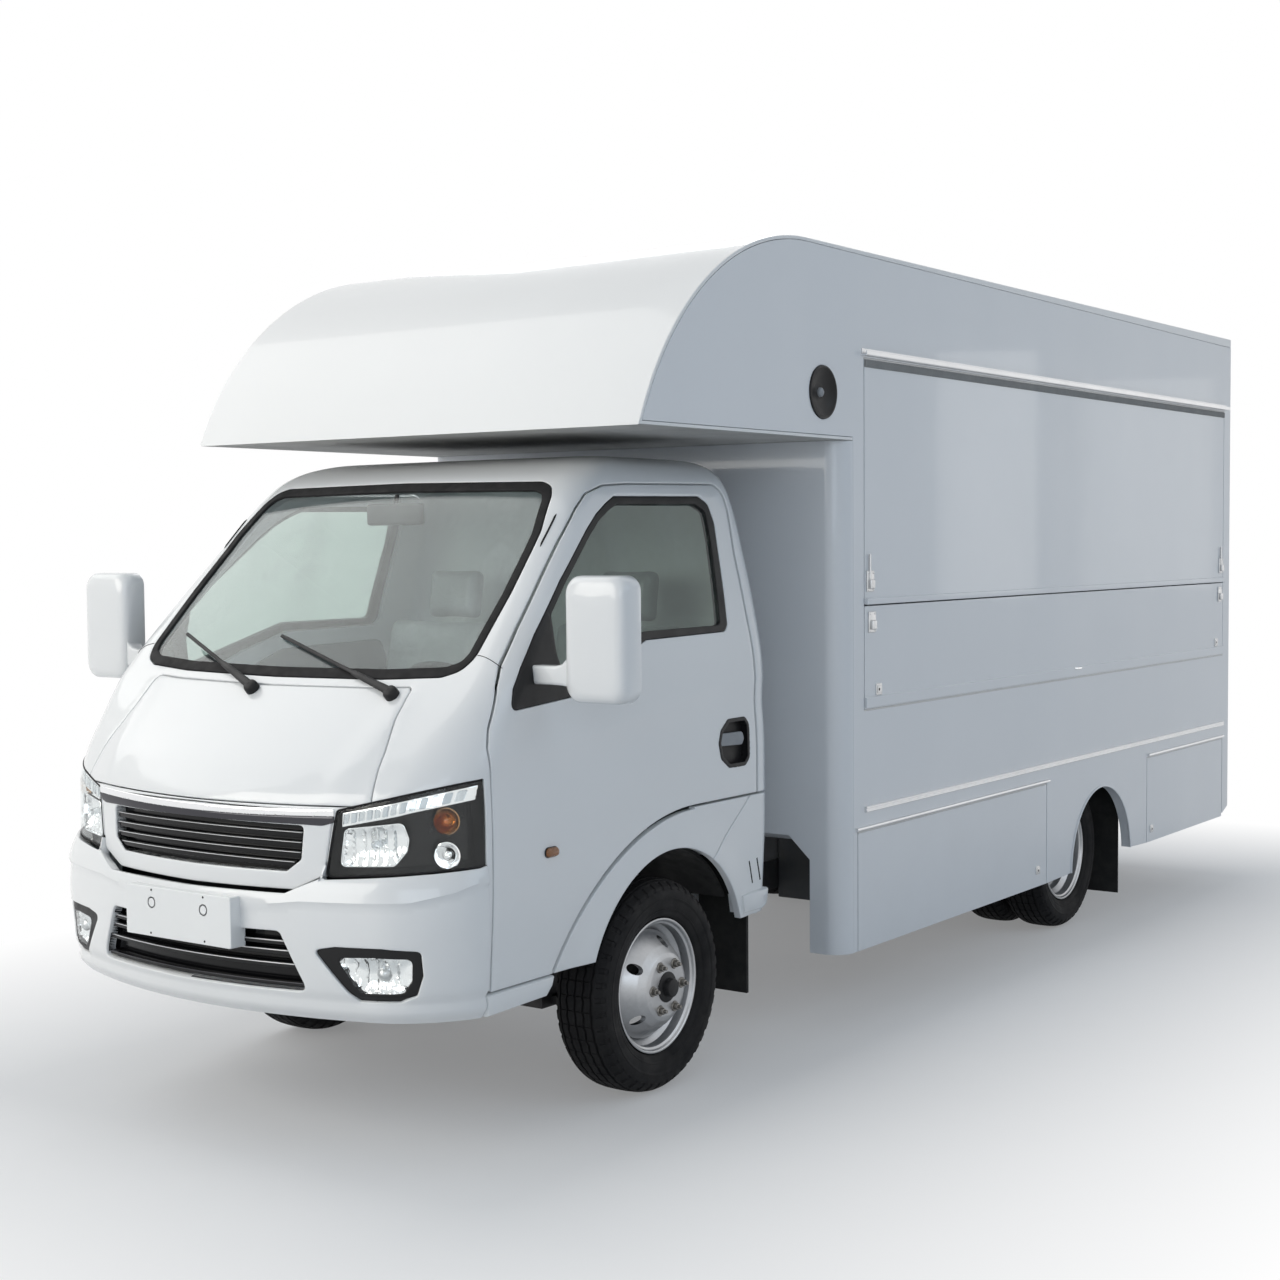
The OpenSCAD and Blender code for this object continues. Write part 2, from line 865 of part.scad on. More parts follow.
// Bare arms over the foot of the windscreen
module wipers() {
    color("#141415")
        on_ground()
            for (p = [[-50, -883, 155.5, 460], [470, -855.4, 161, 590]])
                translate([p[0], p[1], 1262])
                    rotate([45, 0, 0]) {
                        translate([0, 0, 1.5])
                            cylinder(r = 14, h = 24);
                        rotate([0, 0, p[2]])
                            translate([0, -8, 16])
                                cube([p[3], 16, 9]);
                    }
}

// Liners over the front wheels and flaps behind all of them
module mudguards() {
    color("#202122")
        on_ground()
            both_sides() {
                difference() {
                    bar_x(arch_r + 10, 440, 748 - seat, arch_dy, axle_z + 8);
                    bar_x(arch_r - 2, 430, 760, arch_dy, axle_z + 8);
                    block(400, 800, -600, 600, -200, 540);
                }
                block(560, 748 - seat, 520, 532, 200, 640);
                block(400, box_x - 62, wheelbase + 420, wheelbase + 428, 90, rail_z + 60);
                block(rail_x + seat, 420, wheelbase + 400, wheelbase + 428, rail_z + 20, rail_z + 60);
            }
}

// Left door of the cab
module cab_door() {
    difference() {
        intersection() {
            cab_skin(0, cab_t);
            door_room(0);
        }
        side_prism(DOOR_WINDOW, 500, 900);
        // Handle recess, and the hollow of the inner side
        side_prism(HANDLE, handle_x, 855);
        intersection() {
            cab_skin(door_skin, cab_t + 1);
            side_prism(DOOR_POCKET, 500, 900);
        }
    }
    // Paddle across the recess
    block(handle_x - 1, handle_x + 9, HANDLE[7][0] + 22, HANDLE[2][0] - 34, 1036, 1072);
}

module door_left() {
    color("#eef1f5")
        on_ground()
            cab_door();
}

module door_right() {
    mirror([1, 0, 0])
        door_left();
}

module door_glass_left() {
    color("#7f9299")
        on_ground()
            intersection() {
                cab_skin(10, 10 + glass_t, 4, 10);
                difference() {
                    side_grown(DOOR_WINDOW, -seat, 500, 900);
                    side_grown(SAIL, seat, 500, 900);
                }
            }
}

module door_glass_right() {
    mirror([1, 0, 0])
        door_glass_left();
}

// Rounded rectangle about the origin
function round_rect(w, h, r) = concat(
    arc([w / 2 - r, h / 2 - r], r, 0, 90, 5), arc([r - w / 2, h / 2 - r], r, 90, 180, 5),
    arc([r - w / 2, r - h / 2], r, 180, 270, 5), arc([w / 2 - r, r - h / 2], r, 270, 360, 5));

// Mirror head on its arm, with the sail plate that carries it in the window's corner
module mirror_left() {
    color("#eef1f5")
        on_ground() {
            translate([1000, -600, 1418]) {
                difference() {
                    hull() {
                        front_prism(round_rect(204, 346, 42), 0, -14, 44);
                        front_prism(round_rect(188, 330, 48), 0, -36, 0);
                        front_prism(round_rect(140, 280, 48), 0, -46, 0);
                    }
                    front_prism(round_rect(184, 326, 34), 0, 38, 50);
                }
                block(-226, -90, -26, 26, -128, -74);
            }
            intersection() {
                cab_skin(3, 30, 4, 10);
                side_grown(SAIL, 0, 540, 900);
                side_grown(DOOR_WINDOW, -seat, 540, 900);
                door_room(-20);
            }
        }
}

module mirror_right() {
    mirror([1, 0, 0])
        mirror_left();
}

/* Box body */

function nose_arc(d, n) = let (r = nose_r - d)
    arc([nose_y, nose_cz], r, 180 - asin((nose_z + d - nose_cz) / r), 90, n);
function side_outline() = concat(nose_arc(0, 22), [[box_rear, roof_z], [box_rear, 340],
    [box_rear - 70, 312], [box_rear - 320, skirt_z + 20], [rear_arch[0], skirt_z + 20],
    [rear_arch[0], skirt_z], [box_front + corner_r, skirt_z], [box_front + corner_r, nose_z]]);

// Opening for a skirt door
module skirt_opening(s) {
    block(box_x - wall - 1, box_x + 1, s[0] - gap, s[1] + gap, 200, skirt_hinge_z + gap / 2);
}

module side_wall() {
    difference() {
        side_prism(side_outline(), box_x - wall, box_x);
        block(box_x - wall - 1, box_x + 1, hatch_front, hatch_rear, counter_z - gap / 2, hatch_top);
        skirt_opening(skirt_a);
        skirt_opening(skirt_b);
        bar_x(rear_arch_r, box_x - wall - 1, box_x + 1, rear_arch[0], rear_arch[1]);
        bar_x(speaker_r, box_x - wall - 1, box_x + 1, speaker_y, speaker_z);
        // Room for the tyres, should the box be narrow
        bar_x(tyre_od / 2 + 20, 0, rear_face_x + wheel_offset + tyre_w / 2 + 20, wheelbase, axle_z);
    }
    hinge_rod(hatch_front, hatch_rear, hatch_top - gap / 2, 1);
    hinge_rod(hatch_front, hatch_rear, counter_z, -1);
    hinge_rod(skirt_a[0], skirt_a[1], skirt_hinge_z, 1);
    hinge_rod(skirt_b[0], skirt_b[1], skirt_hinge_z, 1);
    // Gutter and strips
    block(box_x - 1, box_x + 24, hatch_front - 20, hatch_rear + 20, hatch_top + 6, hatch_top + 28);
    block(box_x - 1, box_x + 12, hatch_front, hatch_rear, low_strip_z - 10, low_strip_z + 8);
    block(box_x - 1, box_x + 12, skirt_a[0] - 20, skirt_a[1] + 15, skirt_hinge_z + 6, skirt_hinge_z + 18);
    block(box_x - 1, box_x + 12, skirt_b[0], skirt_b[1], skirt_hinge_z + 6, skirt_hinge_z + 18);
}

module box_side_left() {
    color("#eef1f5")
        on_ground()
            side_wall();
}

module box_side_right() {
    mirror([1, 0, 0])
        box_side_left();
}

module box_front_wall() {
    x = box_x - corner_r;
    y = box_front + corner_r;
    inner_r = corner_r - wall;
    // The bends stop where the side walls begin
    out_end = -asin(seat / corner_r);
    in_end = -asin(seat / inner_r);
    color("#eef1f5")
        on_ground()
            difference() {
                translate([0, 0, skirt_z])
                    linear_extrude(nose_z - skirt_z - seat)
                        polygon(concat(arc([x, y], corner_r, -90, out_end, 8),
                            arc([x, y], inner_r, in_end, -90, 6),
                            arc([-x, y], inner_r, 270, 180 - in_end, 6),
                            arc([-x, y], corner_r, 180 - out_end, 270, 8)));
                front_prism(both([[0, 672], [box_x - 212, 672], [box_x - 129, 595], [box_x - 129, 200],
                    [0, 200]]), 0, 700, 1000);
            }
}

module box_roof() {
    color("#eef1f5")
        on_ground()
            side_prism(concat(nose_arc(0, 22), [[box_rear, roof_z], [box_rear, roof_z - wall]],
                [for (i = [22 : -1 : 0]) nose_arc(wall, 22)[i]],
                [[box_front + wall, nose_z + wall], [box_front + wall, nose_z]]),
                seat + wall - box_x, box_x - wall - seat);
}

module box_floor() {
    x = box_x - wall - seat;
    front = box_front + wall + seat;
    // Corners cut clear of the front wall's rounded corners
    cut = corner_r - wall + 1;
    color("#8a8d90")
        on_ground() {
            translate([0, 0, floor_low])
                linear_extrude(floor_t)
                    polygon([[-x, front + cut], [cut - x, front], [x - cut, front], [x, front + cut],
                        [x, box_rear - wall - seat], [-x, box_rear - wall - seat]]);
            both_sides()
                block(rail_x - rail_w, rail_x, box_front + 10, rail_rear, rail_top + seat, floor_low - 40);
            for (y = [box_front + 60 : 560 : rail_rear - 60])
                block(-x + 40, x - 40, y, y + 50, floor_low - 40, floor_low);
        }
}

module box_rear_wall() {
    x = box_x - wall - seat;
    w = rear_door_w / 2;
    color("#eef1f5")
        on_ground() {
            difference() {
                block(-x, x, box_rear - wall, box_rear, 470, roof_z - wall - seat);
                block(-w - gap, w + gap, box_rear - wall - 1, box_rear + 1, floor_z + 6, rear_door_top + gap);
            }
            for (z = [floor_z + 160, (floor_z + rear_door_top) / 2 - 20, rear_door_top - 260]) {
                translate([-w - gap / 2, box_rear, z])
                    cylinder(r = rod_r, h = 100);
                block(-w - gap, -w - gap / 2, box_rear - rod_r, box_rear, z, z + 100);
            }
        }
}

module rear_door() {
    w = rear_door_w / 2;
    color("#eef1f5")
        on_ground()
            difference() {
                block(-w, w, box_rear - flap_t, box_rear, floor_z + 6 + gap, rear_door_top);
                block(-w + 130, w - 130, box_rear - flap_t - 1, box_rear + 1,
                    rear_door_top - 700, rear_door_top - 180);
            }
}

module hatch_left() {
    color("#f2f4f7")
        on_ground() {
            block(box_x - flap_t, box_x, hatch_front + gap, hatch_rear - gap, hatch_split + gap / 2,
                hatch_top - gap);
            block(box_x - 1, box_x + 12, hatch_front + gap, hatch_rear - gap, hatch_split + gap / 2,
                hatch_split + 24);
        }
}

module hatch_right() {
    mirror([1, 0, 0])
        hatch_left();
}

module counter_left() {
    color("#f2f4f7")
        on_ground() {
            block(box_x - flap_t, box_x, hatch_front + gap, hatch_rear - gap, counter_z + gap / 2,
                hatch_split - gap / 2);
            // Edge rail, clear of the wall when the flap hangs open
            block(box_x - 1, box_x + 8, hatch_front + gap, hatch_rear - gap, counter_z + 8, counter_z + 44);
        }
}

module counter_right() {
    mirror([1, 0, 0])
        counter_left();
}

module skirt_door(s) {
    block(box_x - flap_t, box_x, s[0], s[1], s[2], skirt_hinge_z - gap / 2);
}

module skirt_front_left() {
    color("#eef1f5")
        on_ground()
            skirt_door(skirt_a);
}

module skirt_front_right() {
    mirror([1, 0, 0])
        skirt_front_left();
}

module skirt_rear_left() {
    color("#eef1f5")
        on_ground()
            skirt_door(skirt_b);
}

module skirt_rear_right() {
    mirror([1, 0, 0])
        skirt_rear_left();
}

module speakers() {
    color("#141415")
        on_ground()
            both_sides()
                translate([box_x - wall, speaker_y, speaker_z])
                    rotate([0, 90, 0])
                        rotate_extrude()
                            polygon([[0, 2], [speaker_r - seat, 2], [speaker_r - seat, wall + 4],
                                [0.91 * speaker_r, wall + 6], [0.82 * speaker_r, wall],
                                [0.43 * speaker_r, 14], [0.34 * speaker_r, 16], [0, 26]]);
}

module rear_step() {
    color("#3a3c3f")
        on_ground() {
            block(72 - box_x, box_x - 72, rail_rear + 57, box_rear + 20, rail_z - 35, rail_z + 55);
            both_sides()
                block(rail_x - rail_w, rail_x, rail_rear + seat, rail_rear + 58, rail_z + 5, rail_z + 55);
        }
}

module tail_lamps() {
    color("#8d1f1c")
        on_ground()
            both_sides()
                block(box_x - 272, box_x - 52, box_rear + seat, box_rear + 18, 500, 590);
}

chassis_frame();
front_suspension();
knuckle_left();
knuckle_right();
rear_axle();
leaf_springs();
engine();
propshaft();
fuel_tank();
exhaust();
tyre_front_left();
tyre_front_right();
wheel_front_left();
wheel_front_right();
tyres_rear_left();
tyres_rear_right();
wheel_rear_left();
wheel_rear_right();
cab_shell();
cab_floor();
bonnet();
windscreen();
headlamps();
grille_surround();
grille();
bumper();
fog_lamps();
intake();
dashboard();
steering_wheel();
seats();
wipers();
mudguards();
door_left();
door_right();
door_glass_left();
door_glass_right();
mirror_left();
mirror_right();
box_floor();
box_front_wall();
box_roof();
box_side_left();
box_side_right();
box_rear_wall();
rear_door();
hatch_left();
hatch_right();
counter_left();
counter_right();
skirt_front_left();
skirt_front_right();
skirt_rear_left();
skirt_rear_right();
speakers();
rear_step();
tail_lamps();
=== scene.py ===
"""Food truck with a curved nose over its cab: materials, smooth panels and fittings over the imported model."""

import json
import math

import bmesh
import bpy
import numpy as np
from mathutils import Matrix, Vector
from mathutils.geometry import delaunay_2d_cdt
from mathutils.kdtree import KDTree

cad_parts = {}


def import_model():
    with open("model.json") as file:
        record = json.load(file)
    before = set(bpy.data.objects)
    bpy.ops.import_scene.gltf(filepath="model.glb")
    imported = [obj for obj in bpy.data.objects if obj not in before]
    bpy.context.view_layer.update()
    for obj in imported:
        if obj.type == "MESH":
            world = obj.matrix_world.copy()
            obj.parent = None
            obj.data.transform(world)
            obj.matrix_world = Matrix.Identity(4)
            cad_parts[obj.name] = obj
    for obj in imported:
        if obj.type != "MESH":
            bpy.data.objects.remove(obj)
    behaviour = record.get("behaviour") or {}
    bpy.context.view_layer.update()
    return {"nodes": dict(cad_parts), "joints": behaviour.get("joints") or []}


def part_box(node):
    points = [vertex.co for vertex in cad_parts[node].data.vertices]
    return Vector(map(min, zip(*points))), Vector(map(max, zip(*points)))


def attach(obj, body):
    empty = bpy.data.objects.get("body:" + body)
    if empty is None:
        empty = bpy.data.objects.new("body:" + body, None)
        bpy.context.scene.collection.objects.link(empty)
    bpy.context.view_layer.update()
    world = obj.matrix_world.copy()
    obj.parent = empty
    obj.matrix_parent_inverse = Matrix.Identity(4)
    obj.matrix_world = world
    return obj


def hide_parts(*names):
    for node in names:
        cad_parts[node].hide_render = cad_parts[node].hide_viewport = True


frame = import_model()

NODES = frame["nodes"]
JOINT = {j["name"]: j for j in frame["joints"]}
# The tables below give y from the front axle, in millimetres
AXLE_Y = JOINT["steer_left"]["pos_m"][1]

# Camera

scene = bpy.context.scene


# The photograph's view: yaw, pitch and roll in degrees, place from the front axle, focal length
VIEW_TURN = (35.441, 2.927, -0.428)
VIEW_PLACE = (4.111, -4.794, 1.683)
VIEW_LENS = 54.458


def make_camera():
    """A camera at the photograph's viewing angle."""
    yaw, pitch, roll = (math.radians(a) for a in VIEW_TURN)
    ahead = Vector((-math.sin(yaw) * math.cos(pitch), math.cos(yaw) * math.cos(pitch), -math.sin(pitch)))
    right = Vector((math.cos(yaw), math.sin(yaw), 0))
    up = right.cross(ahead)
    right, up = (math.cos(roll) * right + math.sin(roll) * up, math.cos(roll) * up - math.sin(roll) * right)
    turn = Matrix((right, up, -ahead)).transposed().to_4x4()
    data = bpy.data.cameras.new("camera")
    data.lens = VIEW_LENS
    data.sensor_width = 36
    data.clip_end = 200
    camera = bpy.data.objects.new("camera", data)
    camera.matrix_world = Matrix.Translation(Vector(VIEW_PLACE) + Vector((0, AXLE_Y, 0))) @ turn
    scene.collection.objects.link(camera)
    scene.camera = camera


make_camera()
scene.view_settings.view_transform = "Standard"

# Materials


class Graph:
    """A material's node tree, with short calls for the nodes used here."""

    def __init__(self, name):
        self.mat = bpy.data.materials.new(name)
        self.mat.use_nodes = True
        self.tree = self.mat.node_tree
        self.tree.nodes.clear()
        self.out = self.tree.nodes.new("ShaderNodeOutputMaterial")

    def node(self, kind, **values):
        n = self.tree.nodes.new("ShaderNode" + kind)
        for key, value in values.items():
            if hasattr(n, key):
                setattr(n, key, value)
        return n

    def link(self, a, b):
        self.tree.links.new(a, b)

    def put(self, socket, value):
        if isinstance(value, bpy.types.NodeSocket):
            self.link(value, socket)
        elif isinstance(value, (tuple, list)) and len(value) == 3 and socket.type == "RGBA":
            socket.default_value = (*value, 1)
        else:
            socket.default_value = value

    def place(self):
        if not hasattr(self, "coords"):
            self.coords = self.node("TexCoord").outputs["Object"]
        return self.coords

    def scaled(self, scale):
        m = self.node("Mapping")
        self.link(self.place(), m.inputs["Vector"])
        m.inputs["Scale"].default_value = scale
        return m.outputs["Vector"]

    def noise(self, scale, detail=3.0, rough=.55, vector=None, distortion=0.0):
        n = self.node("TexNoise")
        self.link(vector or self.place(), n.inputs["Vector"])
        n.inputs["Scale"].default_value = scale
        n.inputs["Detail"].default_value = detail
        n.inputs["Roughness"].default_value = rough
        n.inputs["Distortion"].default_value = distortion
        return n.outputs["Fac"]

    def cells(self, scale):
        n = self.node("TexVoronoi")
        self.link(self.place(), n.inputs["Vector"])
        n.inputs["Scale"].default_value = scale
        return n.outputs["Distance"]

    def ramp(self, fac, stops):
        n = self.node("ValToRGB")
        self.link(fac, n.inputs["Fac"])
        e = n.color_ramp.elements
        while len(e) < len(stops):
            e.new(.5)
        for k, (at, c) in enumerate(stops):
            e[k].position = at
            e[k].color = (c, c, c, 1) if isinstance(c, (int, float)) else (*c, 1)
        return n.outputs["Color"]

    def span(self, value, a, b, c, d):
        n = self.node("MapRange", clamp=True)
        self.link(value, n.inputs["Value"])
        for key, v in zip(("From Min", "From Max", "To Min", "To Max"), (a, b, c, d)):
            n.inputs[key].default_value = v
        return n.outputs["Result"]

    def math(self, op, a, b=0.0):
        n = self.node("Math", operation=op)
        self.put(n.inputs[0], a)
        self.put(n.inputs[1], b)
        return n.outputs[0]

    def mix(self, fac, a, b):
        n = self.node("Mix", data_type="RGBA")
        self.put(n.inputs["Factor"], fac)
        self.put(n.inputs[6], a)
        self.put(n.inputs[7], b)
        return n.outputs[2]

    def height(self):
        s = self.node("SeparateXYZ")
        self.link(self.place(), s.inputs[0])
        return s.outputs

    def bump(self, height, strength, distance, under=None):
        n = self.node("Bump")
        self.link(height, n.inputs["Height"])
        n.inputs["Strength"].default_value = strength
        n.inputs["Distance"].default_value = distance
        if under is not None:
            self.link(under, n.inputs["Normal"])
        return n.outputs["Normal"]

    def principled(self, **values):
        n = self.node("BsdfPrincipled")
        for key, value in values.items():
            self.put(n.inputs[key.replace("_", " ")], value)
        self.link(n.outputs[0], self.out.inputs["Surface"])
        return n


def paint(name, color, wave=0.0, dust=.12, coat=.8):
    """White vehicle paint: clear coat, soft panel waves, and road dust that thickens towards the ground."""
    g = Graph(name)
    z = g.height()[2]
    low = g.span(z, .25, .95, 1, 0)
    cloud = g.noise(3.2, 5, .62)
    dirt = g.math("MULTIPLY", g.math("MULTIPLY", low, g.span(cloud, .38, .72, .1, 1)), dust)
    shade = g.ramp(g.noise(1.3, 2, .5), [(.3, tuple(c * .975 for c in color)), (.7, color)])
    base = g.mix(dirt, shade, (.45, .43, .39))
    rough = g.math("ADD", g.span(g.noise(9, 4, .6), .3, .75, .30, .37), g.math("MULTIPLY", dirt, .5))
    normal = g.bump(g.noise(26, 2, .5), .05, .0012)
    if wave:
        normal = g.bump(g.noise(1.0, 1.5, .45, vector=g.scaled((.9, 1.5, .75))), wave, .05, normal)
    g.principled(Base_Color=base, Roughness=rough, Normal=normal, Coat_Weight=coat, Coat_Roughness=.05,
                 Specular_IOR_Level=.4)
    return g.mat


def plastic(name, color, rough=.5, grain=160, depth=.25, spread=.12):
    """Moulded plastic with a fine leathery grain and slight shine changes."""
    g = Graph(name)
    tone = g.noise(6, 4, .6)
    base = g.mix(g.span(tone, .3, .75, 0, 1), tuple(c * .86 for c in color),
                 tuple(min(1, c * 1.1) for c in color))
    shine = g.span(g.noise(14, 4, .6), .3, .75, rough - spread, rough + spread)
    normal = g.bump(g.cells(grain * 2.2), depth, .0008)
    normal = g.bump(g.noise(grain, 3, .6), depth * .6, .0006, normal)
    g.principled(Base_Color=base, Roughness=shine, Normal=normal, Specular_IOR_Level=.24)
    return g.mat


def rubber(name, color=(.010, .010, .011), dust=.35):
    """Black rubber with a little bloom and dust."""
    g = Graph(name)
    bloom = g.math("MULTIPLY", g.span(g.noise(11, 5, .65), .42, .8, 0, 1), dust)
    base = g.mix(bloom, color, (.07, .067, .062))
    normal = g.bump(g.noise(260, 4, .65), .3, .0007)
    g.principled(Base_Color=base, Roughness=g.span(g.noise(23, 4, .6), .3, .75, .55, .82), Normal=normal,
                 Specular_IOR_Level=.2)
    return g.mat


def metal(name, color, rough=.3, brush=(1, 1, 1), grime=.15, flake=0.0):
    """Metal with brushed or cast grain and some grime."""
    g = Graph(name)
    grain = g.noise(90, 4, .7, vector=g.scaled(brush))
    stain = g.math("MULTIPLY", g.span(g.noise(7, 5, .65), .45, .8, 0, 1), grime)
    tone = g.mix(g.span(grain, .3, .75, 0, 1), tuple(c * .88 for c in color), color)
    base = g.mix(stain, tone, tuple(c * .35 for c in color))
    shine = g.math("ADD", g.span(grain, .3, .75, rough * .86, rough * 1.25), g.math("MULTIPLY", stain, .4))
    normal = g.bump(grain, .12 + flake, .0005)
    g.principled(Base_Color=base, Metallic=1.0, Roughness=shine, Normal=normal)
    return g.mat


def coated(name, color, rough=.45, rust=.1):
    """Painted or dipped steel under the truck, dusty and touched with rust."""
    g = Graph(name)
    dust = g.span(g.noise(8, 6, .65), .4, .78, 0, .4)
    base = g.mix(dust, color, (.13, .12, .105))
    spots = g.math("MULTIPLY", g.span(g.noise(31, 5, .7), .6, .74, 0, 1), rust)
    base = g.mix(spots, base, (.17, .075, .03))
    normal = g.bump(g.noise(140, 4, .65), .25, .0009)
    g.principled(Base_Color=base, Roughness=g.span(g.noise(17, 4, .6), .3, .75, rough - .1, rough + .25),
                 Normal=normal)
    return g.mat


def glass(name, tint, clear=.9, rough=.012, streak=.25, shine=1.0):
    """Thin pane: a clear sheet with a gloss on it, faint dust and water marks. It casts hardly any shadow."""
    g = Graph(name)
    marks = g.noise(5, 5, .65, vector=g.scaled((1, 1, .35)))
    haze = g.span(marks, .5, .85, 0, streak)
    sheet = g.node("BsdfTransparent")
    sheet.inputs["Color"].default_value = (*tint, 1)
    film = g.node("BsdfPrincipled")
    g.put(film.inputs["Base Color"], g.mix(g.span(g.noise(12, 3), .4, .8, 0, 1), (.46, .50, .51),
                                           (.56, .59, .59)))
    film.inputs["Roughness"].default_value = .6
    gloss = g.node("BsdfGlossy")
    gloss.inputs["Color"].default_value = (1, 1, 1, 1)
    gloss.inputs["Roughness"].default_value = rough
    body = g.node("MixShader")
    g.link(g.math("ADD", haze, 1 - clear), body.inputs[0])
    g.link(sheet.outputs[0], body.inputs[1])
    g.link(film.outputs[0], body.inputs[2])
    tilt = g.node("LayerWeight")
    tilt.inputs["Blend"].default_value = .5
    edge = g.math("MULTIPLY", g.math("ADD", g.math("MULTIPLY", g.math("POWER", tilt.outputs["Facing"], 4.5),
                                                   .95), .04), shine)
    top = g.node("MixShader")
    g.link(edge, top.inputs[0])
    g.link(body.outputs[0], top.inputs[1])
    g.link(gloss.outputs[0], top.inputs[2])
    g.link(top.outputs[0], g.out.inputs["Surface"])
    return g.mat


def lens(name, color, rough=.08, rib=0.0, clear=.75):
    """Moulded lamp lens: coloured and see-through, with fine ribs where it has them."""
    g = Graph(name)
    normal = g.bump(g.noise(55, 3, .5), .05, .001)
    if rib:
        w = g.node("TexWave", wave_type="BANDS", bands_direction="X")
        g.link(g.place(), w.inputs["Vector"])
        w.inputs["Scale"].default_value = rib
        normal = g.bump(w.outputs["Fac"], .5, .002, normal)
    tone = g.mix(g.span(g.noise(18, 3), .3, .8, 0, 1), color, tuple(c * .9 for c in color))
    g.principled(Base_Color=tone, Roughness=rough, Transmission_Weight=clear, IOR=1.35, Normal=normal,
                 Coat_Weight=.6, Coat_Roughness=.03)
    return g.mat


def mirror_like(name, color=(.86, .87, .88), rough=.04):
    g = Graph(name)
    smear = g.span(g.noise(12, 5, .65), .45, .85, rough, rough + .12)
    tone = g.mix(g.span(g.noise(4, 3), .3, .8, 0, 1), color, tuple(c * .93 for c in color))
    g.principled(Base_Color=tone, Metallic=1.0, Roughness=smear, Normal=g.bump(g.noise(9, 2), .02, .004))
    return g.mat


def tyre_rubber():
    """Tyre: dark rubber, dust in the tread and a brown bloom on the walls."""
    g = Graph("tyre_rubber")
    bloom = g.span(g.noise(6, 6, .68), .4, .78, 0, .45)
    base = g.mix(bloom, (.010, .010, .011), (.040, .037, .034))
    fine = g.noise(190, 4, .7)
    g.principled(Base_Color=base, Roughness=g.span(g.noise(19, 4, .6), .3, .75, .58, .85),
                 Normal=g.bump(fine, .35, .0008), Specular_IOR_Level=.16)
    return g.mat


def vinyl(name, color):
    """Seat cover: woven cloth under a crumpled clear wrapper."""
    g = Graph(name)
    weave = g.node("TexWave", wave_type="BANDS", bands_direction="DIAGONAL")
    g.link(g.place(), weave.inputs["Vector"])
    weave.inputs["Scale"].default_value = 190
    weave.inputs["Distortion"].default_value = 1.2
    cross = g.node("TexWave", wave_type="BANDS", bands_direction="Z")
    g.link(g.place(), cross.inputs["Vector"])
    cross.inputs["Scale"].default_value = 230
    thread = g.math("MULTIPLY", weave.outputs["Fac"], cross.outputs["Fac"])
    base = g.mix(g.span(g.noise(8, 4, .6), .3, .75, 0, 1), tuple(c * .82 for c in color), color)
    base = g.mix(g.span(thread, 0, 1, 0, .35), base, tuple(c * .5 for c in color))
    crumple = g.cells(14)
    folds = g.noise(17, 6, .62, distortion=1.6)
    normal = g.bump(thread, .18, .0012)
    normal = g.bump(g.math("ADD", folds, g.math("MULTIPLY", crumple, .35)), .55, .012, normal)
    g.principled(Base_Color=base, Roughness=g.span(folds, .3, .7, .34, .62), Normal=normal,
                 Coat_Weight=.55, Coat_Roughness=.16, Sheen_Weight=.2)
    return g.mat


WHITE = paint("cab_paint", (.80, .81, .815))
# Mid grey for the faces that look down under the box's nose: painted shade under the overhang
UNDERSIDE_PAINTED_SHADE = plastic("nose_underside_painted_shade", (.46, .46, .45), .74)
# The box's white made brighter and warmer for the roof and nose: painted light on the top
ROOF_WHITE_PAINTED_LIGHT = paint("roof_paint_painted_light", (.85, .853, .848), dust=.08, coat=.5)
# White box paint tinted cool and a little darker than the roof's: the tint is painted shade on the sides
BOX_WHITE_PAINTED_SHADE = paint("box_paint_painted_shade", (.79, .805, .825), wave=.42, dust=.08, coat=.5)
LINING = plastic("cab_lining", (.42, .43, .445), .55, 110, .3)
BLACK = plastic("black_trim", (.013, .013, .014), .44)
GLOSS_BLACK = plastic("gloss_black", (.006, .006, .007), .16, 30, .03, .05)
DASH = plastic("dash_plastic", (.17, .18, .195), .5, 120, .45)
GREY_TRIM = plastic("grey_trim", (.33, .34, .355), .5, 110, .35)
SEAL = rubber("seal_rubber", dust=.12)
GREY_SEAL = rubber("grey_seal", (.27, .27, .265), .2)
FLAP = rubber("flap_rubber", (.02, .02, .02), .5)
TYRE = tyre_rubber()
RIM = metal("rim_silver", (.47, .48, .495), .36, grime=.3, flake=.05)
NUT = metal("nut_steel", (.26, .25, .235), .38, grime=.3)
STEEL = metal("plated_steel", (.62, .63, .64), .34, (.2, 4, 4), .18)
ALU = metal("aluminium", (.74, .75, .765), .34, (6, .25, 6), .12)
CHROME = mirror_like("chrome")
# A near-black copy of chrome: painted dark reflection, on the grille bar's lower band and the intake's lowest
# lip
CHROME_PAINTED_DARK = mirror_like("chrome_painted_dark_reflection", (.07, .07, .078), .08)
AMBER_CUP = mirror_like("amber_cup", (.34, .22, .13), .1)
SILVER = mirror_like("lamp_silver", (.9, .905, .91), .06)
FRAME_BLACK = coated("frame_black", (.022, .022, .024))
CAST = coated("cast_iron", (.045, .045, .047), .5, .35)
TANK = coated("tank_steel", (.055, .058, .062), .4, .1)
PIPE = metal("exhaust_steel", (.34, .31, .28), .5, grime=.5)
SCREEN = glass("screen_glass", (.92, .965, .96), .96, streak=.14, shine=.8)
SIDE_GLASS = glass("door_glass", (.64, .70, .67), .96, streak=.12, shine=.8)
CLEAR = glass("lamp_clear", (.97, .98, .98), .99, .01, .02, .4)
AMBER = lens("amber_lens", (.95, .30, .03), rib=30)
RED = lens("red_lens", (.75, .02, .015), rib=30, clear=.5)
FROST = lens("frosted_lens", (.90, .93, .95), .12, 36)
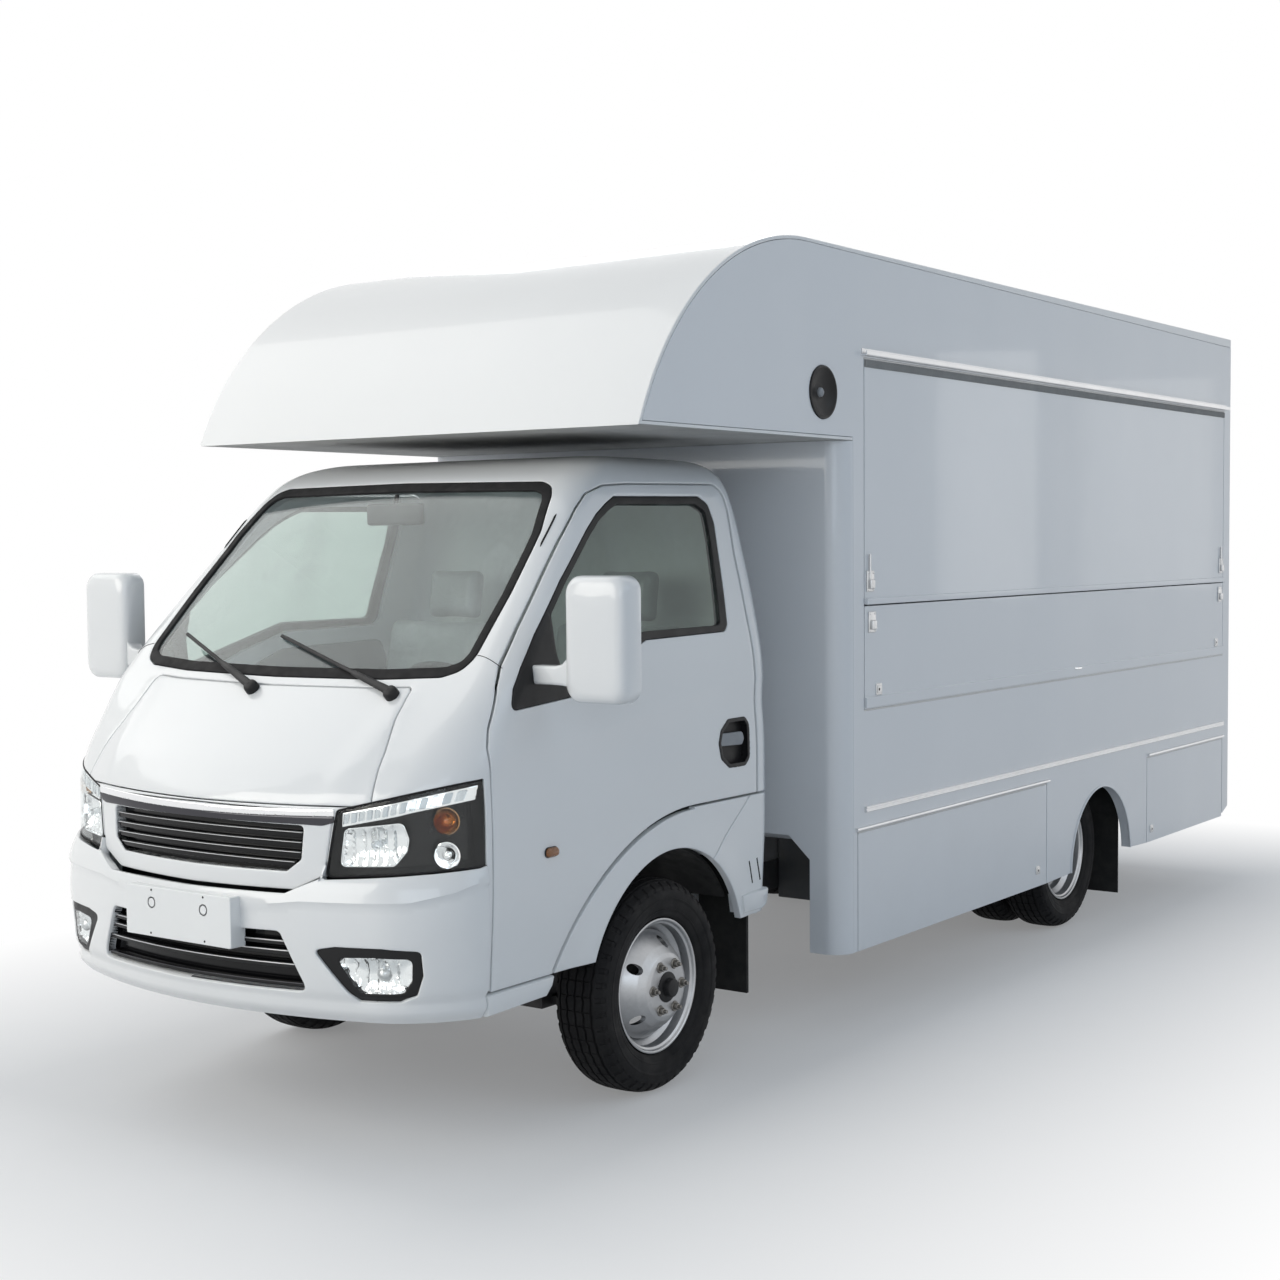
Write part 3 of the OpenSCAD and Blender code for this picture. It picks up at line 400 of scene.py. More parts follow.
LED = plastic("led_white", (.88, .90, .92), .2, 60, .05, .05)
PLATE = paint("plate_white", (.84, .85, .85), dust=.1)
CLOTH = vinyl("seat_cover", (.40, .415, .43))
FLOOR_MAT = rubber("floor_mat", (.035, .036, .038), .5)


def dress(obj, *mats):
    obj.data.materials.clear()
    for m in mats:
        obj.data.materials.append(m)
    return obj


# Meshes


def place_mesh(name, mesh, mats, body, sharp):
    """Puts a mesh in the scene as a smooth piece with crisp edges, dressed and on its body."""
    mesh.shade_smooth()
    if sharp:
        mesh.set_sharp_from_angle(angle=math.radians(sharp))
    obj = bpy.data.objects.new(name, mesh)
    scene.collection.objects.link(obj)
    dress(obj, *(mats if isinstance(mats, (tuple, list)) else (mats,)))
    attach(obj, body)
    return obj


def mesh_object(name, verts, faces, mats, body="chassis", sharp=38.0, face_mats=None):
    """A piece from points in metres and faces."""
    mesh = bpy.data.meshes.new(name)
    mesh.from_pydata([tuple(v) for v in verts], [], [tuple(f) for f in faces])
    mesh.validate()
    if face_mats is not None and len(mesh.polygons) == len(faces):
        mesh.polygons.foreach_set("material_index", np.asarray(face_mats, np.int32))
    return place_mesh(name, mesh, mats, body, sharp)


def bmesh_object(name, bm, mats, body="chassis", sharp=38.0):
    """A piece from a bmesh, which is freed."""
    mesh = bpy.data.meshes.new(name)
    bm.to_mesh(mesh)
    bm.free()
    return place_mesh(name, mesh, mats, body, sharp)


def world(x, y, z):
    """Millimetres from the front axle to metres in the row frame."""
    return Vector((x * .001, AXLE_Y + y * .001, z * .001))


def fillet(points, r, closed=True, every=9.0):
    """Rounds the corners of an outline."""
    p = [np.array(q, float) for q in points]
    n = len(p)
    out = []
    for i in range(n):
        if not closed and i in (0, n - 1):
            out.append(p[i])
            continue
        a, b, c = p[i - 1], p[i], p[(i + 1) % n]
        u, w = a - b, c - b
        lu, lw = np.linalg.norm(u), np.linalg.norm(w)
        u, w = u / lu, w / lw
        turn = math.pi - math.acos(np.clip(u @ w, -1, 1))
        if turn < .02:
            out.append(b)
            continue
        d = min(r * math.tan(turn / 2), .47 * lu, .47 * lw)
        k = max(2, int(math.ceil(turn / math.radians(every))))
        for s in np.linspace(0, 1, k + 1):
            out.append((b + u * d) * (1 - s) ** 2 + 2 * s * (1 - s) * b + (b + w * d) * s ** 2)
    return np.array(out)


def resample(points, step, closed=True):
    p = np.asarray(points, float)
    q = np.vstack([p, p[:1]]) if closed else p
    out = []
    for a, b in zip(q[:-1], q[1:]):
        k = max(1, int(math.ceil(np.linalg.norm(b - a) / step)))
        out.extend(a + (b - a) * (s / k) for s in range(k))
    if not closed:
        out.append(q[-1])
    return np.array(out)


def offset(points, d):
    """Closed outline moved outwards by d, whichever way round it runs."""
    p = np.asarray(points, float)
    nxt, prv = np.roll(p, -1, 0), np.roll(p, 1, 0)
    area = np.sum(p[:, 0] * nxt[:, 1] - nxt[:, 0] * p[:, 1])
    e1, e2 = p - prv, nxt - p
    n1 = np.stack([e1[:, 1], -e1[:, 0]], 1) / np.maximum(np.linalg.norm(e1, axis=1), 1e-9)[:, None]
    n2 = np.stack([e2[:, 1], -e2[:, 0]], 1) / np.maximum(np.linalg.norm(e2, axis=1), 1e-9)[:, None]
    m = n1 + n2
    m /= np.maximum(np.linalg.norm(m, axis=1), 1e-9)[:, None]
    m /= np.maximum(np.sum(m * n1, axis=1), .5)[:, None]
    return p + m * d * (1 if area > 0 else -1)


def inside(poly, x, y):
    """Which of the points lie inside an outline."""
    p = np.asarray(poly, float)
    hit = np.zeros(np.shape(x), bool)
    for (ax, ay), (bx, by) in zip(p, np.roll(p, -1, 0)):
        if ay == by:
            continue
        cross = (ay > y) != (by > y)
        hit ^= cross & (x < (bx - ax) * (y - ay) / (by - ay) + ax)
    return hit


class Form:
    """A lofted body given by levels: height, front, half width, bow, corner across, corner along, back."""

    # Radius of the corners at the back
    BACK_R = 60

    def __init__(self, rows, relief=None):
        t = np.array(rows, float)
        d = np.diff(t, axis=0)
        across = .5 * (np.abs(d[:, 1]) + np.abs(d[:, 2]))
        self.v = np.concatenate([[0], np.cumsum(np.sqrt(d[:, 0] ** 2 + across ** 2))])
        self.t = t
        h = np.diff(self.v)[:, None]
        g = d / h
        m = np.vstack([g[:1], np.zeros_like(g[1:]), g[-1:]])
        w1, w2 = 2 * h[1:] + h[:-1], h[1:] + 2 * h[:-1]
        same = g[:-1] * g[1:] > 0
        a, b = np.where(same, g[:-1], 1), np.where(same, g[1:], 1)
        m[1:-1] = np.where(same, (w1 + w2) / (w1 / a + w2 / b), 0)
        self.m = m
        self.relief = relief
        self.fine_v = np.linspace(0, self.v[-1], 3000)
        self.fine_z = self.at(self.fine_v)[0]

    def at(self, v):
        v = np.clip(np.asarray(v, float), 0, self.v[-1])
        i = np.clip(np.searchsorted(self.v, v, side="right") - 1, 0, len(self.v) - 2)
        h = self.v[i + 1] - self.v[i]
        s = (v - self.v[i]) / h
        a = (1 + 2 * s) * (1 - s) ** 2
        b = s * (1 - s) ** 2 * h
        c = s * s * (3 - 2 * s)
        e = s * s * (s - 1) * h
        a, b, c, e = (w[..., None] for w in (a, b, c, e))
        out = a * self.t[i] + b * self.m[i] + c * self.t[i + 1] + e * self.m[i + 1]
        return np.moveaxis(out, -1, 0)

    def level_at(self, z):
        return np.interp(z, self.fine_z, self.fine_v)

    def marks(self, v):
        z, front, hw, bow, cx, cy, back = self.at(v)
        xs = hw - cx
        ys = front + bow * (xs / hw) ** 2
        return z, front, hw, bow, cx, cy, back, xs, ys, 2 * bow * xs / hw ** 2

    def base(self, p, v):
        """The point at p round a level: 0 to 1 the front, to 2 its corner, to 3 the side, to 5 the back."""
        r = self.BACK_R
        z, front, hw, bow, cx, cy, back, xs, ys, slope = self.marks(v)
        q = np.abs(p)
        s = np.sign(p) + (p == 0)
        x0 = xs * np.clip(q, 0, 1)
        a = np.radians(90) * np.clip(q - 1, 0, 1)
        b = np.radians(90) * np.clip(q - 3, 0, 1)
        x = x0 + cx * np.sin(a) - r * (1 - np.cos(b)) - (hw - r) * np.clip(q - 4, 0, 1)
        y = np.where(q < 1, front + bow * (x0 / hw) ** 2,
                     ys + slope * cx * np.sin(a) * np.cos(a) + cy * (1 - np.cos(a)))
        y = y + (back - r - ys - cy) * np.clip(q - 2, 0, 1) + r * np.sin(b)
        return np.stack([x * s, y, z + 0 * x], -1)

    def normal(self, p, v, fn=None):
        fn = fn or self.base
        du = fn(p + .004, v) - fn(p - .004, v)
        dv = fn(p, np.minimum(v + 1.5, self.v[-1])) - fn(p, np.maximum(v - 1.5, 0))
        n = np.cross(du, dv)
        return n / np.maximum(np.linalg.norm(n, axis=-1), 1e-9)[..., None]

    def point(self, p, v):
        b = self.base(p, v)
        if self.relief is None:
            return b
        return b + self.normal(p, v) * self.relief(b)[..., None]

    def from_side(self, y, z, side=1):
        v = self.level_at(np.asarray(z, float))
        y = np.asarray(y, float)
        lo, hi = np.zeros_like(y), np.full_like(y, 4.0)
        for _ in range(34):
            mid = (lo + hi) / 2
            low = self.base(mid, v)[..., 1] < y
            lo, hi = np.where(low, mid, lo), np.where(low, hi, mid)
        return np.stack([side * lo, v], -1)

    def from_front(self, x, z):
        v = self.level_at(np.asarray(z, float))
        marks = self.marks(v)
        cx, xs = marks[4], marks[7]
        q = np.abs(np.asarray(x, float))
        p = np.where(q <= xs, q / xs, 1 + np.degrees(np.arcsin(np.clip((q - xs) / cx, 0, 1))) / 90)
        return np.stack([np.where(np.asarray(x) < 0, -p, p), v], -1)


# Lengths of a level's stretches on the flat pattern
FLAT_P = np.array([0, 1, 2, 3, 4, 5.0])
FLAT_U = np.array([0, 600, 870, 2150, 2245, 2960.0])


def to_flat(pv):
    pv = np.asarray(pv, float)
    return np.stack([np.sign(pv[..., 0]) * np.interp(np.abs(pv[..., 0]), FLAT_P, FLAT_U), pv[..., 1]], -1)


def from_flat(uv):
    uv = np.asarray(uv, float)
    return np.stack([np.sign(uv[..., 0]) * np.interp(np.abs(uv[..., 0]), FLAT_U, FLAT_P), uv[..., 1]], -1)


def skin(name, form, lines, keep, mats, body="chassis", step=17.0, depth=22.0, lift=0.0, r=2.5, bowl=False,
         dish=None):
    """A panel of a form: cut along lines on its flat pattern, kept where keep(x, y, z) is true, given rounded
    edges and a thickness. Lines are lists of (p, v)."""
    pts, edges = [], []
    for line, loop in lines:
        flat = to_flat(line)
        dense = resample(flat, step * .6, loop)
        start = len(pts)
        pts.extend(map(tuple, dense))
        n = len(dense)
        edges.extend((start + i, start + (i + 1) % n) for i in range(n if loop else n - 1))
    cloud = np.array(pts)
    lo, hi = cloud.min(0), cloud.max(0)
    tree = KDTree(len(cloud))
    for i, (u, v) in enumerate(cloud):
        tree.insert((u, v, 0), i)
    tree.balance()
    row = 0
    v = lo[1] + step * .4
    while v < hi[1]:
        for u in np.arange(lo[0] + (step / 2 if row % 2 else 0), hi[0], step):
            if tree.find((u, v, 0))[2] > step * .55:
                pts.append((u, v))
        v += step * .87
        row += 1
    flat, _, tris, _, _, _ = delaunay_2d_cdt([Vector(q) for q in pts], edges, [], 0, 1e-4)
    flat = np.array([tuple(q) for q in flat])
    tris = np.array([t for t in tris if len(t) == 3], int)
    mid = from_flat(flat[tris].mean(1))
    c = form.base(mid[:, 0], mid[:, 1])
    wide = (flat[tris].min(1) >= lo - 1e-3).all(1) & (flat[tris].max(1) <= hi + 1e-3).all(1)
    tris = tris[keep(c[:, 0], c[:, 1], c[:, 2]) & wide]
    used, tris = np.unique(tris, return_inverse=True)
    tris = tris.reshape(-1, 3)
    flat = flat[used]
    a, b, d = flat[tris[:, 0]], flat[tris[:, 1]], flat[tris[:, 2]]
    flip = (b[:, 0] - a[:, 0]) * (d[:, 1] - a[:, 1]) - (b[:, 1] - a[:, 1]) * (d[:, 0] - a[:, 0]) < 0
    tris[flip] = tris[flip][:, ::-1]
    pv = from_flat(flat)
    top = form.point(pv[:, 0], pv[:, 1])
    nor = form.normal(pv[:, 0], pv[:, 1], form.point)
    top = top + nor * lift
    return solid_sheet(name, top, nor, tris, mats, body, depth, r, bowl, dish)


def solid_sheet(name, top, nor, tris, mats, body, depth, r, bowl=False, dish=None):
    """Gives a triangle sheet rounded rims and a back, in millimetres from the front axle. A bowl has its
    sheet at the bottom and walls up to the rim; dish = (reach, depth) presses facets into it."""
    n = len(top)
    seen = {}
    for t in tris:
        for i in range(3):
            seen[(t[i], t[(i + 1) % 3])] = 1
    rim = [e for e in seen if (e[1], e[0]) not in seen]
    out = np.zeros_like(top)
    ends = {}
    for a, b in rim:
        along = top[b] - top[a]
        length = max(np.linalg.norm(along), 1e-9)
        o = np.cross(along / length, (nor[a] + nor[b]) / 2)
        o /= max(np.linalg.norm(o), 1e-9)
        for k in (a, b):
            ends.setdefault(k, []).append(o)
    for k, os in ends.items():
        m = np.sum(os, axis=0)
        m /= max(np.linalg.norm(m), 1e-9)
        out[k] = m / max(min(float(m @ o) for o in os), .55)
    ids = sorted(ends)
    place = {k: i for i, k in enumerate(ids)}
    e_top, e_nor, e_out = top[ids], nor[ids], out[ids]
    if bowl:
        floor = top - nor * depth
        if dish:
            far = np.array([[min(np.linalg.norm(e_top - q, axis=1))] for q in top])
            facets = dish[1] * np.abs(np.sin(top[:, :1] / 9))
            floor = floor + nor * (depth * .75 * np.exp(-far / dish[0]) + facets)
            floor[ids] = e_top - e_nor * depth * .3
        v = np.vstack([floor, e_top]) * .001
        v[:, 1] += AXLE_Y
        faces = [tuple(t) for t in tris] + [(b, a, n + place[a], n + place[b]) for a, b in rim]
        return mesh_object(name, v, faces, mats, body)
    sheet = top.copy()
    sheet[ids] = e_top - r * e_out
    verts = [sheet]
    faces = [tuple(t) for t in tris]
    last = {k: k for k in ids}
    base = n
    levels = [(r * (1 - math.sin(a)), r * (1 - math.cos(a))) for a in (math.radians(32), math.radians(62),
                                                                       math.pi / 2)]
    levels.append((0, depth))
    for back, down in levels:
        verts.append(e_top - e_out * back - e_nor * down)
        now = {k: base + place[k] for k in ids}
        faces.extend((last[b], last[a], now[a], now[b]) for a, b in rim)
        last = now
        base += len(ids)
    verts.append(top - nor * depth)
    faces.extend(tuple(last.get(k, base + k) for k in t[::-1]) for t in tris)
    v = np.vstack(verts) * .001
    v[:, 1] += AXLE_Y
    used = sorted({i for f in faces for i in f})
    order = np.full(len(v), -1)
    order[used] = np.arange(len(used))
    kinds = [0] * (len(faces) - len(tris)) + [1] * len(tris) if isinstance(mats, tuple) else None
    return mesh_object(name, v[used], [tuple(order[list(f)]) for f in faces], mats, body, face_mats=kinds)


def tube(name, path, radius, mats, body="chassis", closed=False, sides=8, flat=1.0, up=None):
    """Round or flattened bar along a path, in metres."""
    p = [Vector(q) for q in path]
    n = len(p)
    verts, faces = [], []
    for i in range(n):
        a = p[i - 1] if i or closed else p[i]
        b = p[(i + 1) % n] if i < n - 1 or closed else p[i]
        t = (b - a).normalized()
        if up is None:
            side = t.orthogonal().normalized() if i == 0 else (side - t * side.dot(t)).normalized()
        else:
            u = Vector(up[i]) if isinstance(up, (list, np.ndarray)) else Vector(up)
            side = t.cross(u).normalized()
        top = t.cross(side)
        rad = radius[i] if isinstance(radius, (list, tuple)) else radius
        for k in range(sides):
            a = 2 * math.pi * k / sides
            verts.append(p[i] + rad * (side * math.cos(a) + top * math.sin(a) * flat))
    for i in range(n if closed else n - 1):
        for k in range(sides):
            j, l = (i + 1) % n, (k + 1) % sides
            faces.append((i * sides + k, i * sides + l, j * sides + l, j * sides + k))
    if not closed:
        faces.append(tuple(range(sides - 1, -1, -1)))
        faces.append(tuple((n - 1) * sides + k for k in range(sides)))
    return mesh_object(name, verts, faces, mats, body)


def lathe(name, profile, mats, body, origin, axis=(1, 0, 0), count=96):
    """Turns a profile of (radius, along) about an axis, in metres. A profile may close on itself."""
    ax = Vector(axis).normalized()
    u = ax.orthogonal().normalized()
    w = ax.cross(u)
    o = Vector(origin)
    m = len(profile)
    verts, faces = [], []
    for i in range(count):
        a = 2 * math.pi * i / count
        d = u * math.cos(a) + w * math.sin(a)
        verts.extend(o + d * r + ax * s for r, s in profile)
    for i in range(count):
        j = (i + 1) % count
        for k in range(m - 1):
            faces.append((i * m + k, i * m + k + 1, j * m + k + 1, j * m + k))
    return recalc(mesh_object(name, verts, faces, mats, body))


def recalc(obj, merge=1e-6):
    """Merges a piece's doubled points and turns its faces outwards."""
    bm = bmesh.new()
    bm.from_mesh(obj.data)
    bmesh.ops.remove_doubles(bm, verts=bm.verts, dist=merge)
    bmesh.ops.recalc_face_normals(bm, faces=bm.faces)
    bm.to_mesh(obj.data)
    bm.free()
    return obj


def slab(name, outline, depth, place, mats, body="chassis", bevel=.002):
    """A flat piece: an outline in metres on the plane of the matrix place, extruded, edges rounded."""
    bm = bmesh.new()
    face = bm.faces.new([bm.verts.new((x, y, 0)) for x, y in outline])
    grown = bmesh.ops.extrude_face_region(bm, geom=[face])
    bmesh.ops.translate(bm, verts=[g for g in grown["geom"] if isinstance(g, bmesh.types.BMVert)],
                        vec=(0, 0, depth))
    bmesh.ops.recalc_face_normals(bm, faces=bm.faces)
    bm.normal_update()
    sharp = [e for e in bm.edges if e.calc_face_angle(0) > .6]
    bmesh.ops.bevel(bm, geom=sharp, offset=bevel, segments=2, profile=.5, affect="EDGES", clamp_overlap=True)
    bm.transform(place)
    return bmesh_object(name, bm, mats, body)


def soft_box(name, low, high, mats, body="chassis", bevel=.006, turn=None):
    """A box between two corners in metres with rounded edges, turned about its middle if asked."""
    lo, hi = (Vector(pick(*pair) for pair in zip(low, high)) for pick in (min, max))
    mid, size = (lo + hi) / 2, hi - lo
    bm = bmesh.new()
    bmesh.ops.create_cube(bm, size=1, matrix=Matrix.Diagonal((*size, 1)))
    bmesh.ops.bevel(bm, geom=list(bm.edges), offset=min(bevel, min(size) * .45), segments=3, profile=.5,
                    affect="EDGES", clamp_overlap=True)
    bm.transform(Matrix.Translation(mid) @ (turn or Matrix.Identity(4)))
    return bmesh_object(name, bm, mats, body)


def join(objs, name):
    """Joins pieces that ride on one body."""
    bpy.ops.object.select_all(action="DESELECT")
    for o in objs:
        o.select_set(True)
    bpy.context.view_layer.objects.active = objs[0]
    bpy.ops.object.join()
    objs[0].name = name
    return objs[0]


# Outlines on the cab, the same as the solids'. Seen from the side: y, z. Seen from the front: x, z.

CAB = [
    (450, -1150, 782, 190, 190, 240, 600), (800, -1166, 797, 195, 195, 245, 600),
    (970, -1160, 797, 190, 190, 240, 600), (1060, -1105, 796, 165, 170, 215, 600),
    (1150, -1012, 795, 130, 140, 180, 600), (1290, -853, 789, 75, 95, 130, 600),
    (1450, -692, 762, 60, 85, 115, 600), (1650, -494, 716, 50, 80, 105, 598),
    (1830, -318, 668, 42, 75, 100, 588), (1885, -248, 645, 38, 80, 100, 570),
    (1922, -160, 610, 30, 90, 100, 540), (1942, -60, 555, 20, 100, 100, 495),
    (1950, 60, 480, 10, 100, 100, 435)]
BUMPER = [
    (405, -1152, 778, 185, 200, 250, 600), (440, -1182, 792, 190, 195, 245, 600),
    (560, -1200, 802, 195, 195, 245, 600), (700, -1205, 806, 195, 195, 245, 600),
    (765, -1199, 804, 195, 195, 245, 600), (828, -1176, 799, 195, 195, 245, 600)]
FENDER_ARC = (150, 36, 832)
ARCH = (25, 335, 412)
DOOR_TOP = [(-820, 470), (-820, 1130), (-806, 1180), (-750, 1294), (-714, 1347), (-618, 1449), (-485, 1583),
            (-378, 1688), (-280, 1780), (-222, 1824), (-134, 1848), (-12, 1855), (470, 1862), (508, 1836),
            (512, 1780), (498, 1640), (498, 1470), (506, 1263), (508, 868)]
DOOR_WINDOW = [(-734, 1224), (-714, 1283), (-671, 1339), (-591, 1426), (-439, 1572), (-264, 1718),
               (-203, 1763),
               (-142, 1796), (-91, 1818), (367, 1824), (412, 1800), (424, 1739), (384, 1416), (363, 1395),
               (-70, 1388), (-260, 1330), (-464, 1244)]
DOOR_GLASS = [(-490, 1290), (-512, 1376), (-508, 1478), (-420, 1560), (-250, 1702), (-190, 1746),
              (-132, 1776),
              (-80, 1796), (336, 1801), (388, 1778), (384, 1683), (345, 1424), (330, 1416), (-76, 1414),
              (-270, 1356)]
SAIL = [(-734, 1224), (-714, 1283), (-671, 1339), (-591, 1426), (-510, 1504), (-512, 1376), (-470, 1246)]
WINDSCREEN = [(0, 1300), (400, 1304), (590, 1314), (640, 1332), (660, 1368), (652, 1540), (630, 1715),
              (596, 1815),
              (572, 1848), (530, 1862), (0, 1868)]
DOOR_CARD = [(-690, 690), (-690, 1120), (-430, 1190), (-90, 1330), (390, 1342), (430, 1270), (430, 960),
             (230, 945),
             (-60, 930), (-330, 830), (-470, 690)]
LAMP = [(452, 794), (482, 972), (640, 1012), (930, 1087), (930, 828)]
BONNET = [(0, 980), (474, 983), (576, 984), (571, 1004), (564, 1041), (551, 1117), (526, 1202), (519, 1286),
          (400, 1281), (0, 1277)]
GRILLE = [(0, 748), (352, 752), (446, 796), (472, 968), (0, 972)]
SLOTS = [(0, 800), (330, 802), (376, 836), (384, 928), (0, 930)]
INTAKE = [(0, 480), (414, 484), (336, 646), (0, 642)]
FOG = [(436, 602), (500, 614), (626, 615), (712, 607), (713, 540), (697, 486), (660, 465), (552, 464),
       (520, 500)]
FOG_LENS = [(499, 583), (600, 588), (694, 585), (690, 525), (670, 492), (650, 490), (566, 488), (546, 506)]
SHELF = [(0, 700), (194, 705), (400, 731), (542, 734), (692, 738), (770, 759), (797, 778)]
HANDLE = [(345, 962), (440, 961), (466, 985), (466, 1096), (445, 1119), (346, 1118), (300, 1085), (285, 1045),
          (298, 994)]
POST = -846


def whole(half):
    """A half outline from the middle line, made whole."""
    return [(x, z) for x, z in half] + [(-x, z) for x, z in half[::-1] if x]


def step_up(a, b, t):
    s = np.clip((t - a) / (b - a), 0, 1)
    return s * s * (3 - 2 * s)


def cab_relief(b):
    """Pressed lines of the cab: a crease along the doors over a hollow, and two ridges on the front."""
    x, y, z = np.abs(b[..., 0]), b[..., 1], b[..., 2]
    crease = np.interp(y, [-840, -728, -363, 275, 501, 610], [1080, 1096, 1127, 1222, 1232, 1238])
    d = z - crease
    side = step_up(-900, -760, y) * step_up(660, 560, y)
    hollow = np.exp(-((d + 75) / 62.0) ** 2) * -5.5 + np.exp(-((d - 6) / 20.0) ** 2) * 1.5
    ridge_x = np.interp(z, [970, 1290], [452, 520])
    front = step_up(-760, -860, y) * step_up(960, 1010, z) * step_up(1300, 1260, z)
    ridge = np.exp(-((x - ridge_x) / 46.0) ** 2) * 4.5
    return hollow * side + ridge * front


def bumper_relief(b):
    """The bumper's shelf under the lamps, with the edge along its front, and its chin."""
    x, z = np.abs(b[..., 0]), b[..., 2]
    line = np.array(SHELF, float)
    shelf = np.interp(z - np.interp(x, line[:, 0], line[:, 1]), [-95, -14, 0, 66, 96], [0, -4, 4, -5, -3])
    shelf = shelf * (.4 + .6 * step_up(180, 330, x))
    chin = -9 * np.exp(-((z - 462) / 14.0) ** 2)
    return shelf + chin


cab = Form(CAB, cab_relief)
nose = Form(BUMPER, bumper_relief)


def arc(c, r, a0, a1, n):
    t = np.radians(np.linspace(a0, a1, n + 1))
    return np.stack([c[0] + r * np.cos(t), c[1] + r * np.sin(t)], 1)


def fender_edge(d):
    return arc(FENDER_ARC[:2], FENDER_ARC[2] + d, 90, 147.6, 24)


def door_outline():
    low = fender_edge(0)
    return np.vstack([fillet(DOOR_TOP, 42, False), low, [[low[-1][0], 470]]])


def on_side(outline, form=cab, side=1):
    p = np.asarray(outline, float)
    return form.from_side(p[:, 0], p[:, 1], side)


def on_front(outline, form=cab):
    p = np.asarray(outline, float)
    return form.from_front(p[:, 0], p[:, 1])


DOOR = resample(door_outline(), 14)
WINDOW = resample(fillet(DOOR_WINDOW, 26), 12)
PANE = resample(fillet(DOOR_GLASS, 26), 12)
SCREEN_EDGE = resample(fillet(whole(WINDSCREEN), 60), 14)
BONNET_EDGE = resample(fillet(whole(BONNET), 22), 14)
GRILLE_EDGE = resample(fillet(whole(GRILLE), 18), 12)
SLOT_EDGE = resample(fillet(whole(SLOTS), 16), 12)
INTAKE_EDGE = resample(fillet(whole(INTAKE), 22), 12)
FOG_EDGE = resample(fillet(FOG, 14), 8)
FOG_PANE = resample(fillet(FOG_LENS, 16), 7)


def lamp_lines(d):
    """Edges of a headlamp on the cab: its upper, inner and lower lines, and its rear end."""
    edge = resample(fillet(LAMP[4:] + LAMP[:4], 14, False), 10, False)
    low = offset(np.vstack([edge, [[1000, 1087], [1000, 828]]]), d)[:len(edge)]
    return low[low[:, 0] < 796]


def in_lamp(x, y, z, d):
    return inside(offset(np.array(LAMP, float), d), np.abs(x), z) & (y < POST - 2 + d)


def side_loop(outline, form=cab):
    return [(on_side(outline, form, s), True) for s in (1, -1)]


def front_loop(outline, form=cab):
    return [(on_front(outline, form), True)]


def front_pair(outline, form=cab):
    p = np.asarray(outline, float)
    return [(on_front(p, form), True), (on_front(p * (-1, 1), form), True)]


def level_line(form, z, p0, p1, n=120):
    p = np.linspace(p0, p1, n)
    return (np.stack([p, np.full(n, float(form.level_at(z)))], 1), False)


def upright(form, y, z0, z1, side, n=60):
    z = np.linspace(z0, z1, n)
    return (form.from_side(np.full(n, float(y)), z, side), False)


def lamp_cut(form, d):
    edge = lamp_lines(d)
    lines = []
    for s in (1, -1):
        lines.append((on_front(edge * (s, 1), form), False))
        lines.append(upright(form, POST - 2 + d, 780, min(1075, form.t[-1][0]), s))
    return lines


def ringed(edge, hole, u, v):
    """Which points lie inside an outline and outside its hole, where it has one."""
    ok = inside(edge, u, v)
    return ok if hole is None else ok & ~inside(hole, u, v)


def side_panel(name, s, edge, mats, body, hole=None, **sizes):
    """A panel on one side of the cab."""
    lines = [(on_side(line, cab, s), True) for line in (edge, hole) if line is not None]
    return skin(name, cab, lines, lambda x, y, z: ringed(edge, hole, y, z), mats, body, **sizes)


def front_panel(name, form, edge, mats, s=1, hole=None, **sizes):
    """A panel on the front of a form, mirrored where s is -1."""
    lines = [(on_front(line * (s, 1), form), True) for line in (edge, hole) if line is not None]
    return skin(name, form, lines, lambda x, y, z: ringed(edge, hole, s * x, z), mats, **sizes)


def band(upper, lower):
    """A closed outline from two lines that run the same way."""
    return np.vstack([upper, lower[::-1]])


HINGE_SIDE = {1: "door_left", -1: "door_right"}
SIDE_NAME = {1: "left", -1: "right"}


